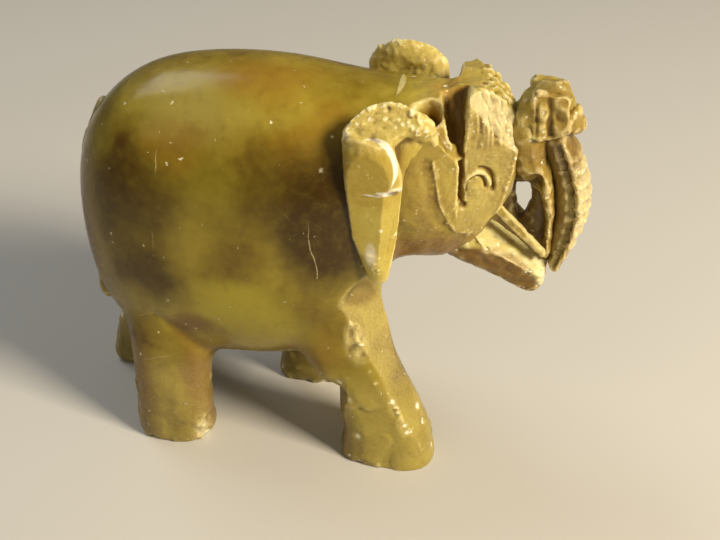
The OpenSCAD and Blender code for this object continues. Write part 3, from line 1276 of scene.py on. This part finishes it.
@dataclass
class Head:
    """The chiselled head: a shield on each side, the hollow behind it, an eye and a cheek.

    Attributes:
        neck_x: Where the head's piece meets the torso.
        flat_top: The height of the flat crown between the ears.
        eye: The middle of the eye, on the left side.
        oval: The eye's half length and half height.
        slant: How far the shield goes in towards the middle for each millimetre forward.
    """

    neck_x: float = Block.neck_x
    flat_top: float = 48.0
    eye: Point = (18.8, 5.5, 38.6)
    oval: tuple[float, float] = (1.4, 1.85)
    slant: float = 0.478

    def carve(self, mesh: bpy.types.Mesh) -> bpy.types.Mesh:
        """Carves the head's half of the block.

        Args:
            mesh: The half, closed at the neck.

        Returns:
            The carved head, unmoved where it meets the torso.
        """
        bm = bmesh.new()
        bm.from_mesh(mesh)
        bmesh.ops.subdivide_edges(bm, edges=bm.edges[:], cuts=1, use_grid_fill=True)
        bm.to_mesh(mesh)
        bm.free()
        stone = Carving(mesh)
        rest = stone.points.copy()
        stone.polish(2)
        free = fade(-rest[:, 0], -self.neck_x - 2.0, -self.neck_x - 0.1)
        stone.shave((8.0, 0, self.flat_top), (0.0, 0, 1.0),
                    fade(rest[:, 0], 14.0, 16.0))
        stone.shave((13.0, 0, 27.6), (0.08, 0, -1.0))
        stone.shave((17.0, 4.0, 48.95), (0.02, 0.12, 1.0), fade(-rest[:, 1], 0.0, 1.0))
        for s in SIGNS:
            self._shield(stone, s)
            self._hollow(stone, s)
            self._cheek(stone, s)
            self._eye(stone, s)
        front = fade(-stone.points[:, 0], -17.5, -13.0)
        brow = fade(-stone.points[:, 0], -19.2, -17.6) * fade(-stone.points[:, 2], -44.0, -42.5)
        stone.tremble(0.55, 0.42, brow, seed=14.0, tall=6.0)
        stone.worked = np.maximum(stone.worked, 0.88 * brow * fade(-stone.relief(12), -0.05, 0.0))
        stone.tremble(1.6, 0.12, seed=1.0)
        stone.tremble(0.5, 0.05, seed=4.0)
        stone.chip(130, 0.3, 0.12, 8)
        stone.worked = np.maximum(stone.worked, 0.35 * front)
        stone.points = rest + (stone.points - rest) * free[:, None]
        stone.worked = stone.worked * free
        return stone.finished()

    def _shield(self, stone: Carving, s: int) -> None:
        """Cuts one flat shield and the brighter facet on the forehead above it.

        Args:
            stone: The stone so far.
            s: The side's sign.
        """
        place = stone.within((20.0, s * 4.8, 41.0), (5.5, 4.5, 11.5), 0.12)
        front = stone.beyond((17.2, 0, 0), (1, 0, 0), 0.2)
        stone.shave((19.6, s * 5.05, 41.0), (0.43, s * 0.90, 0.0), place * front, tool=0.5)
        high = stone.beyond((17.0, 0, 0), (1, 0, 0)) * stone.beyond((0, s * 0.6, 0), (0, s, 0), 0.8)
        stone.shave((20.6, s * 4.15, 45.2), (0.74, s * 0.55, 0.36),
                    high * stone.beyond((0, 0, 43.0), (0, 0, 1), 1.0), tool=0.9)
        stone.shave((18.8, s * 3.6, 49.35), (0.34, s * 0.06, 0.94),
                    high * stone.beyond((0, 0, 45.0), (0, 0, 1), 1.0), tool=0.6)
        stone.groove([(20.0, s * 4.9, 48.0), (20.6, s * 4.5, 44.4), (22.2, s * 3.9, 43.6)],
                     0.5, 0.16)
        stone.groove([(18.8, s * 5.5, 47.5), (19.2, s * 5.3, 44.0)], 0.4, 0.10)
        stone.groove([(19.6, s * 5.2, 48.0), (20.1, s * 4.9, 45.0)], 0.4, 0.10)

    def _hollow(self, stone: Carving, s: int) -> None:
        """Cuts the hollow behind the shield, its drilled hole and the groove below it.

        Args:
            stone: The stone so far.
            s: The side's sign.
        """
        slope = 2.6 / 6.0
        wall = 17.15 if s < 0 else 15.9
        behind = stone.beyond((wall - 2.7, 0, 49.0), (1.0, 0, slope), 0.7)
        ahead = stone.beyond((wall, 0, 0), (-1, 0, 0), 0.15)
        low = stone.beyond((0, 0, 42.8), (0, 0, 1), 0.6)
        outer = stone.beyond((0, s * 1.2, 0), (0, s, 0), 0.4)
        stone.shave((15.6, s * 1.5, 47.9), (0.08, s * 0.77, 0.63),
                    behind * ahead * low * outer)
        stone.groove([(15.9, s * 3.6, 46.8), (16.5, s * 5.2, 44.6)], 2.2, 0.9, tool=0.0,
                     flat=0.5, where=ahead)
        stone.groove([(17.15, s * 6.6, 44.2), (17.35, s * 6.2, 37.2)], 1.0, 1.0, tool=0.0,
                     flat=0.3)
        stone.drill((13.3, s * 4.9, 48.2), (0.0, -s * 0.35, -1.0), 1.6, 3.2)
        stone.drill((17.5, s * 6.0, 36.5), (-0.2, -s, 0.0), 0.55, 0.5)

    def _cheek(self, stone: Carving, s: int) -> None:
        """Cuts the cheek's planes, its chipped ridge and its scratches.

        Args:
            stone: The stone so far.
            s: The side's sign.
        """
        stone.shave((12.5, s * 8.5, 41.0), (0.36, s * 0.93, 0.05),
                    stone.within((13.0, s * 8.0, 40.0), (5.0, 3.0, 8.0), 0.3))
        stone.shave((13.5, s * 7.0, 32.0), (0.12, s * 0.86, -0.45),
                    stone.within((13.5, s * 6.0, 31.0), (6.0, 5.0, 5.0), 0.3))
        stone.groove(stone.seat(s, (13.4, 42.4), (13.9, 39.4), (14.3, 37.0), (15.3, 34.4)),
                     2.2, 0.22, tool=0.0)
        ridge = stone.seat(s, (14.2, 42.6), (14.7, 39.8), (15.1, 37.4), (16.1, 34.8), (17.0, 33.0),
                           (18.5, 32.7))
        stone.groove(ridge, 0.7, -0.20, tool=0.5)
        stone.stipple(ridge, 34, 0.17, 17 + s)
        stone.groove(stone.seat(s, (14.8, 42.8), (16.4, 40.8)), 0.5, 0.10, tool=1.0)
        rim = stone.seat(s, (20.7, 47.4), (21.6, 45.8), (22.4, 43.6), (22.9, 42.0), (22.6, 40.0),
                         (22.2, 38.0), (21.6, 35.6), (20.7, 33.6), (19.6, 32.2))
        stone.groove(rim, 0.8, -0.14, tool=0.6)
        stone.stipple(rim, 46, 0.18, 27 + s)
        stone.stipple(stone.seat(s, (17.6, 49.0), (17.6, 46.0), (17.7, 43.0)), 10, 0.18, 37 + s)
        stone.stipple(stone.seat(s, (18.6, 47.0), (20.0, 42.0), (17.0, 35.0), (13.0, 33.0),
                                 (12.5, 38.0), (13.4, 44.0)), 30, 0.14, 47 + s)

    def _oval(self, s: int, start: float, end: float, grow: float) -> list[Point]:
        """Returns points on the eye's oval between two angles.

        Args:
            s: The side's sign.
            start: The first angle in degrees, from the front and up.
            end: The last angle.
            grow: How far outside the oval the points lie.

        Returns:
            The points, on the shield's slanting face.
        """
        x, y, z = self.eye
        length, height = self.oval
        strokes = 8
        path = []
        for i in range(strokes + 1):
            angle = math.radians(start + (end - start) * i / strokes)
            dx = (length + grow) * math.cos(angle)
            path.append((x + dx, s * (y - self.slant * dx), z + (height + grow) * math.sin(angle)))
        return path

    def _eye(self, stone: Carving, s: int) -> None:
        """Cuts one oval eye under a raised lid.

        Args:
            stone: The stone so far.
            s: The side's sign.
        """
        x, y, z = self.eye
        stone.shave((x, s * (y + 0.1), z), (0.43, s * 0.9, 0.0),
                    stone.within((x, s * y, z), (2.2, 2.0, 2.6), 0.3))
        stone.groove(self._oval(s, -15, 80, 0.55), 0.8, 0.55, tool=0.0)
        stone.groove(self._oval(s, 0, 190, -0.35), 0.6, 0.30, tool=0.0)
        stone.groove(self._oval(s, 5, 165, 0.05), 0.7, -0.38, tool=1.0)
        stone.swell((x, s * y, z - 0.2), (1.2, 1.2, 1.5), 0.25)


@dataclass
class Ears:
    """The two ears: a broad top that hooks forward and a lobe that hangs down.

    Attributes:
        voxel: The voxel size that an ear is fused at.
        lumps: Centres and radii from the hook's tip over the top to the lobe's foot.
    """

    voxel: float = 0.2
    lumps: tuple[tuple[Point, Point], ...] = (
        ((14.2, 7.1, 44.7), (0.5, 0.7, 0.7)), ((12.4, 7.9, 46.8), (1.9, 1.1, 1.5)),
        ((9.6, 8.6, 47.8), (3.0, 1.4, 1.8)), ((7.2, 9.4, 45.4), (2.6, 1.4, 3.0)),
        ((8.2, 10.6, 41.3), (3.2, 1.4, 4.0)), ((8.4, 10.9, 35.4), (2.6, 1.4, 3.6)),
        ((8.8, 10.3, 29.5), (1.3, 1.1, 1.6)))

    def build(self, side: Side) -> bpy.types.Mesh:
        """Builds one ear.

        Args:
            side: The side that it hangs on.

        Returns:
            Its mesh.
        """
        s = side.value
        clay = Clay()
        clay.chain([Lump(at, radii).mirrored(side) for at, radii in self.lumps])
        # The dished web between the hooked rim and the lobe, down to the cheek
        clay.wrap(*lumps(side, 0.7, (8.4, 8.8, 46.8), (13.0, 7.5, 46.6), (13.9, 6.2, 44.6),
                         (12.4, 6.9, 39.8), (9.4, 9.1, 38.6), (10.4, 6.8, 38.6)))
        ear = Carving(clay.fused("ear", self.voxel))
        ear.polish(3)
        self._planes(ear, s)
        self._marks(ear, s)
        rim = ear.beyond((0, 0, 45.4), (0.0, 0, 1.0), 1.5)
        ear.tremble(0.7, 0.13, 0.25 + 0.75 * rim, seed=7.0 + s)
        ear.chip(80, 0.35, 0.10, 31 + s, 0.3 + 0.7 * rim)
        ear.worked = np.maximum(ear.worked, 0.6 * rim)
        ear.shave((0, 0, 49.7), (0, 0, 1))
        return ear.finished()

    def _planes(self, ear: Carving, s: int) -> None:
        """Cuts the ear's broad faces.

        Args:
            ear: The ear so far.
            s: The side's sign.
        """
        lobe = ear.within((7.6, s * 11.5, 38.0), (5.0, 3.0, 12.5), 0.1)
        ear.shave((8.3, s * 11.55, 40.0), (-0.10, s * 0.99, 0.02), lobe)
        ear.shave((9.4, s * 11.6, 35.0), (0.55, s * 0.83, -0.02), lobe * ear.beyond(
            (0, 0, 40.4), (0, 0, -1), 0.5), tool=0.1)
        ear.shave((9.75, s * 11.25, 44.9), (0.70, s * 0.56, 0.45), lobe * ear.beyond(
            (0, 0, 41.6), (0, 0, 1), 0.6), tool=0.3)
        ear.shave((9.2, s * 9.7, 46.9), (0.05, s * 0.86, 0.5),
                  ear.within((9.5, s * 9.0, 48.5), (6.0, 3.0, 4.0), 0.2), tool=0.7)
        ear.shave((8.0, s * 9.2, 49.4), (-0.05, 0.0, 1.0))

    def _marks(self, ear: Carving, s: int) -> None:
        """Cuts the saw nick, the fold beside the lobe and the notch behind the top.

        Args:
            ear: The ear so far.
            s: The side's sign.
        """
        ear.groove(ear.seat(s, (7.0, 39.7), (8.6, 40.1), (10.4, 40.8)), 0.6, 0.09, tool=0.5)
        ear.groove(ear.seat(s, (10.5, 37.0), (9.7, 31.0)), 0.4, 0.2, tool=0.9)
        ear.stipple(ear.seat(s, (5.6, 47.6), (7.5, 48.9), (9.5, 49.2), (11.5, 48.8), (13.0, 47.4),
                             (13.8, 46.0)), 50, 0.27, 57 + s)
        ear.stipple(ear.seat(s, (6.5, 47.4), (9.0, 48.2), (11.5, 47.6), (13.0, 46.2)), 30, 0.25,
                    67 + s)
        ear.stipple(ear.seat(s, (5.0, 46.6), (5.4, 45.8)), 7, 0.3, 77 + s)
        ear.stipple(ear.seat(s, (7.6, 34.0), (8.4, 32.0), (8.6, 30.0), (9.6, 31.0), (10.6, 35.5)),
                    26, 0.2, 87 + s)
        ear.stipple(ear.seat(s, (6.0, 44.0), (8.0, 42.0), (8.4, 37.0), (7.0, 38.0)), 12, 0.15,
                    97 + s)


@dataclass
class Muzzle:
    """The trunk in its three carved lengths, the lower jaw, the tusks and the tail.

    Attributes:
        half_width: Half the trunk's width.
        folds: How many folds the rising trunk has.
        voxel: The voxel size that each form is fused at.
    """

    half_width: float = 3.2
    folds: int = 10
    voxel: float = 0.17

    def rise_at(self, t: float) -> Point:
        """Returns the rising trunk's centre, t from 0 at its foot to 1 at its top."""
        return (28.5 - 0.8 * t + 1.93 * math.sin(math.pi * t), 0.0, 26.9 + 15.8 * t)

    def _fused(self, name: str, clay: Clay, polish: int) -> Carving:
        """Fuses clay and smooths it a little.

        Args:
            name: The form's name.
            clay: The clay.
            polish: How many passes it is rubbed for.

        Returns:
            The form, ready to carve.
        """
        form = Carving(clay.fused(name, self.voxel))
        form.polish(polish)
        return form

    def rise(self) -> bpy.types.Mesh:
        """Builds the rising part of the trunk with its folds.

        Returns:
            Its mesh.
        """
        w = self.half_width
        clay = Clay()
        clay.chain([Lump(self.rise_at(i / self.folds), (0.9, w * 0.92, 1.2))
                    for i in range(self.folds + 1)])
        for i in range(self.folds):
            low, high = i / self.folds, (i + 0.8) / self.folds
            grow = 0.75 + 1.1 * math.sin(0.75 * math.pi * low)
            clay.chain([Lump(self.rise_at(low), (grow * 1.04, w, 0.9)),
                        Lump(self.rise_at(high), (grow * 0.74, w * 0.94, 0.6))])
        clay.chain([Lump((27.1, 0, 42.6), (1.6, 2.2, 1.4)), Lump((28.5, 0, 38.0), (1.4, 2.1, 1.4)),
                    Lump((28.9, 0, 33.5), (1.2, 2.1, 1.4)), Lump((28.3, 0, 28.8), (0.9, 2.0, 1.4))])
        form = self._fused("trunk", clay, 1)
        for s in SIGNS:
            form.shave((0, s * (w - 0.15), 0), (0, s, 0))
            inner = [(x - 0.55, s * (w - 0.2), z) for x, _, z in (
                self.rise_at(t) for t in (0.0, 0.2, 0.4, 0.6, 0.8, 1.0))]
            form.groove(inner, 1.7, 1.0, tool=0.0, flat=0.3)
        outer = fade(-form.points[:, 0], -30.2, -28.8)
        form.tremble(0.6, 0.16, 0.3 + 0.7 * outer, seed=2.0)
        form.chip(70, 0.38, 0.18, 41, 0.3 + 0.7 * outer)
        form.worked = np.maximum(form.worked, 0.9 * outer)
        return form.finished()

    def root(self) -> bpy.types.Mesh:
        """Builds the falling part of the trunk, from the forehead down to the jaw.

        Returns:
            Its mesh.
        """
        w = self.half_width
        clay = Clay()
        clay.chain([
            Lump((23.6, 0, 43.6), (2.6, w, 3.0)), Lump((24.2, 0, 40.4), (2.2, w, 2.6)),
            Lump((26.5, 0, 37.6), (0.9, w * 0.95, 1.8)), Lump((27.3, 0, 34.0), (0.6, w * 0.95, 2.0)),
            Lump((27.4, 0, 29.0), (0.5, w * 0.85, 2.0))])
        # The drilled opening is narrowest in the middle, so its front wall swells inward
        clay.chain([Lump((25.9, 0, 38.2), (1.3, 1.4, 1.8)), Lump((26.2, 0, 34.2), (1.0, 1.5, 2.0)),
                    Lump((25.6, 0, 30.4), (2.0, 1.5, 1.6)), Lump((26.4, 0, 28.5), (1.2, 1.3, 2.0))])
        for wall in (((20.8, 36.6), (22.2, 36.6), (22.8, 32.0), (21.0, 31.0)),
                     ((22.8, 31.5), (25.6, 31.5), (26.6, 29.0), (22.5, 29.0)),
                     ((22.4, 37.6), (25.4, 37.6), (26.5, 39.5), (22.0, 39.5))):
            clay.wrap(*lumps(Side.LEFT, 0.9, *((x, 0.0, z) for x, z in wall)))
        form = self._fused("trunk_root", clay, 3)
        for s in SIGNS:
            form.shave((24.5, s * 3.05, 41.0), (0.05, s * 1.0, 0.0))
            form.shave((24.4, s * 3.0, 39.4), (0.1, s * 0.75, -0.66), form.within(
                (24.0, s * 3.0, 38.0), (2.4, 2.0, 2.4), 0.2), tool=0.3)
            form.groove([(23.4, s * 3.2, 45.0), (24.4, s * 3.2, 41.6), (24.9, s * 3.1, 39.6)],
                        0.35, 0.15, tool=1.0)
            form.groove([(22.9, s * 3.2, 44.0), (23.9, s * 3.2, 40.0)], 0.3, 0.12, tool=0.8)
            form.groove([(26.3, s * 3.1, 43.0), (27.2, s * 3.0, 39.6), (27.9, s * 2.9, 36.0)],
                        0.6, 0.25, tool=0.2)
        form.tremble(0.8, 0.14, seed=9.0)
        form.chip(90, 0.38, 0.2, 51)
        return form.finished()

    def tip(self) -> bpy.types.Mesh:
        """Builds the curled end of the trunk and its finger.

        Returns:
            Its mesh.
        """
        w = self.half_width
        clay = Clay()
        clay.chain([
            Lump((23.4, 0, 45.0), (1.4, w * 0.9, 2.0)), Lump((25.2, 0, 46.0), (2.0, w, 3.0)),
            Lump((26.9, 0, 46.2), (1.5, w, 3.0)), Lump((29.1, 0, 44.6), (1.1, w * 0.5, 1.2))])
        for s in SIGNS:
            clay.wrap(*(Lump(at, (0.9, 0.9, 0.9)) for at in (
                (27.2, s * 2.1, 47.9), (24.6, s * 2.2, 48.1), (25.0, s * 2.3, 44.0),
                (27.8, s * 1.9, 44.8))))
        form = self._fused("trunk_tip", clay, 2)
        for s in SIGNS:
            form.shave((26.0, s * 3.0, 46.0), (0.12, s * 0.97, 0.1), tool=0.2)
            form.groove([(25.9, s * 3.1, 48.6), (26.2, s * 3.1, 45.0), (26.6, s * 3.0, 43.4)],
                        1.1, 0.4, tool=0.1)
            form.groove([(24.6, s * 3.1, 48.0), (24.8, s * 3.1, 44.0)], 0.7, 0.22, tool=0.2)
        form.shave((28.4, 0, 48.0), (0.75, 0, 0.66), tool=0.7)
        form.groove([(28.6, -3.0, 46.9), (28.9, 0, 46.6), (28.6, 3.0, 46.9)], 1.1, 0.4, tool=0.3)
        form.tremble(1.3, 0.35, seed=12.0)
        form.tremble(0.5, 0.06, seed=3.0)
        form.chip(60, 0.4, 0.18, 61)
        form.shave((0, 0, 49.3), (0, 0, 1))
        return form.finished()

    def jaw(self) -> bpy.types.Mesh:
        """Builds the lower jaw: a bar with a broad outward facet along its upper edge.

        Returns:
            Its mesh.
        """
        clay = Clay()
        clay.chain([
            Lump((17.6, 0, 29.6), (3.2, 4.4, 3.2)), Lump((22.0, 0, 27.8), (2.8, 4.1, 3.3)),
            Lump((25.7, 0, 25.4), (2.3, 3.7, 3.0))])
        for s in SIGNS:
            clay.wrap(*lumps(Side(s), 0.5, (19.6, 3.6, 31.4), (21.6, 1.9, 32.4), (26.7, 2.0, 28.2),
                             (26.8, 3.0, 27.0), (21.0, 3.7, 27.0), (26.2, 3.0, 24.2),
                             (21.0, 0.5, 31.0), (26.6, 0.5, 28.0)))
        form = self._fused("lower_jaw", clay, 3)
        for s in SIGNS:
            form.shave((22.0, s * 3.9, 28.5), (0.02, s * 0.97, -0.22))
            form.shave((22.7, s * 3.9, 28.4), (0.50, s * 0.50, 0.71), tool=0.7)
        form.shave((27.6, 0, 26.0), (0.95, 0, -0.1), tool=0.8)
        form.tremble(0.9, 0.14, seed=6.0)
        front = fade(-form.points[:, 0], -26.6, -24.0)
        form.chip(90, 0.42, 0.22, 71, 0.15 + 0.85 * front)
        return form.finished(broad=0.9)

    def tusk(self, side: Side) -> bpy.types.Mesh:
        """Builds one tusk: the right stands clear of the jaw, the left lies along it.

        Args:
            side: The side that it is on.

        Returns:
            Its mesh.
        """
        drop = 1.2 if side is Side.LEFT else 0.0
        clay = Clay()
        clay.chain([Lump((x, y + drop / 3, z - drop), (radius,) * 3).mirrored(side)
                    for x, y, z, radius in ((21.5, 2.7, 34.4, 0.62), (24.2, 2.7, 31.6, 0.58),
                                            (26.9, 2.6, 28.9, 0.5))])
        form = self._fused("tusk", clay, 2)
        s = side.value
        form.shave((24.2, s * (3.1 + drop / 3), 31.6 - drop), (0.1, s * 0.95, 0.1), tool=0.3)
        form.tremble(0.7, 0.12, seed=8.0 + s)
        return form.finished()

    def tail(self) -> bpy.types.Mesh:
        """Builds the tail: a strip down the rump that ends in a tuft.

        Returns:
            Its mesh.
        """
        clay = Clay()
        clay.chain([
            Lump((-25.2, 0, 42.0), (1.0, 1.3, 1.6)), Lump((-27.6, 0, 37.0), (1.0, 1.2, 1.6)),
            Lump((-28.2, 0, 30.0), (1.0, 1.1, 1.6)), Lump((-28.2, 0, 22.0), (1.0, 1.0, 1.6)),
            Lump((-28.0, 0, 16.4), (1.2, 1.4, 1.8))])
        form = self._fused("tail", clay, 5)
        for z in (15.4, 16.8, 18.2):
            form.groove([(-29.2, -1.0, z), (-29.2, 1.0, z + 0.4)], 0.5, 0.2)
        form.tremble(1.2, 0.12, seed=5.0)
        return form.finished()


@dataclass(frozen=True)
class Lamp:
    """A soft square light that faces the figure.

    Attributes:
        name: The lamp's name.
        azimuth: Degrees that it stands round from the animal's right side.
        elevation: Degrees that it stands up from the floor.
        distance: Metres from the lamp to what it faces.
        size: The length of its side in metres.
        power: Its power in watts.
        colour: Its colour.
    """

    name: str
    azimuth: float
    elevation: float
    distance: float
    size: float
    power: float
    colour: Point


LAMPS = (Lamp("key", 64, 36, 0.45, 0.12, 3.0, (1.0, 0.88, 0.68)),
         Lamp("fill", -40, 45, 0.7, 0.5, 0.25, (1.0, 0.95, 0.86)),
         Lamp("window", -120, 50, 0.6, 0.3, 0.9, (0.93, 0.97, 1.0)))


@dataclass(frozen=True)
class Studio:
    """A pale floor, soft lights and the camera.

    Attributes:
        azimuth: Degrees that the camera stands round from the animal's right side.
        elevation: Degrees that it looks down.
        distance: Metres from the camera to what it looks at.
        target: What it looks at, in drawn millimetres.
        lens: Focal length in millimetres on a 36 mm sensor.
    """

    azimuth: float = 9.0
    elevation: float = 34.8
    distance: float = 0.1361
    target: Point = (5.1, 0.0, 22.3)
    lens: float = 55.0

    def build(self, drawing: Drawing) -> None:
        """Builds the studio round the figure.

        Args:
            drawing: The drawing that the target is given on.
        """
        self._floor()
        aim = drawing.to_frame() @ Vector(self.target)
        self._camera(aim)
        for lamp in LAMPS:
            self._light(aim, lamp)
        world = bpy.data.worlds.new("studio")
        world.use_nodes = True
        sky = world.node_tree.nodes["Background"]
        sky.inputs["Color"].default_value = (1.0, 0.93, 0.82, 1)
        sky.inputs["Strength"].default_value = 0.14
        bpy.context.scene.world = world
        bpy.context.scene.view_settings.view_transform = "Standard"

    def _floor(self) -> None:
        """Lays a plain pale floor under the soles."""
        bm = bmesh.new()
        bmesh.ops.create_grid(bm, x_segments=1, y_segments=1, size=2.0)
        mesh = bpy.data.meshes.new("floor")
        bm.to_mesh(mesh)
        bm.free()
        mesh.materials.append(Graph("pale_floor").surface(
            {"Base Color": (0.60, 0.58, 0.54, 1), "Roughness": 0.6}))
        floor = bpy.data.objects.new("floor", mesh)
        floor.location.z = CAD_BOX[0][2]
        bpy.context.scene.collection.objects.link(floor)

    def _camera(self, aim: Vector) -> None:
        """Sets the camera up at its angle.

        Args:
            aim: What it looks at.
        """
        data = bpy.data.cameras.new("camera")
        data.lens = self.lens
        data.sensor_width = 36.0
        data.clip_start = 0.005
        camera = bpy.data.objects.new("camera", data)
        camera.location = aim + self._towards(self.azimuth, self.elevation) * self.distance
        camera.rotation_euler = (aim - camera.location).to_track_quat("-Z", "Y").to_euler()
        bpy.context.scene.collection.objects.link(camera)
        bpy.context.scene.camera = camera

    @staticmethod
    def _towards(azimuth: float, elevation: float) -> Vector:
        """Returns the direction of something at an azimuth and elevation in degrees."""
        a, e = math.radians(azimuth), math.radians(elevation)
        return Vector((math.sin(a) * math.cos(e), -math.cos(a) * math.cos(e), math.sin(e)))

    def _light(self, aim: Vector, lamp: Lamp) -> None:
        """Sets up one lamp.

        Args:
            aim: What it faces.
            lamp: The lamp.
        """
        data = bpy.data.lights.new(lamp.name, "AREA")
        data.size = lamp.size
        data.energy = lamp.power
        data.color = lamp.colour
        light = bpy.data.objects.new(lamp.name, data)
        light.location = aim + self._towards(lamp.azimuth, lamp.elevation) * lamp.distance
        light.rotation_euler = (aim - light.location).to_track_quat("-Z", "Y").to_euler()
        bpy.context.scene.collection.objects.link(light)


def main() -> None:
    """Builds the figure piece by piece."""
    logging.basicConfig(level=logging.INFO, format="%(message)s")
    drawing = Drawing()
    Studio().build(drawing)
    dresser = Dresser(drawing)
    block = Block()
    stone = block.rough()
    block.carve(stone)
    torso, head = block.cut(stone)
    head = Head().carve(head)
    dresser.dress("torso_and_legs", torso, POLISHED, "polished_stone", "torso",
                  "front_right_leg", "front_left_leg", "rear_right_leg", "rear_left_leg")
    dresser.dress("head_and_neck", head, HEAD, "carved_stone", "neck", "head",
                  "right_brow", "left_brow")
    ears = Ears()
    for side in Side:
        word = side.name.lower()
        dresser.dress(word + "_ear_leaf", ears.build(side), EAR, "carved_stone", word + "_ear")
    muzzle = Muzzle()
    dresser.dress("trunk_fall", muzzle.root(), TRUNK, "carved_stone", "trunk_root")
    dresser.dress("trunk_rise", muzzle.rise(), TRUNK, "carved_stone", "trunk")
    dresser.dress("trunk_curl", muzzle.tip(), TRUNK, "carved_stone", "trunk_tip")
    dresser.dress("jaw_bar", muzzle.jaw(), JAW, "carved_stone", "lower_jaw")
    for side in Side:
        word = side.name.lower()
        dresser.dress(word + "_tusk_bar", muzzle.tusk(side), CARVED, "carved_stone",
                      word + "_tusk")
    dresser.dress("tail_strip", muzzle.tail(), POLISHED, "polished_stone", "tail")


if __name__ == "__main__":
    main()
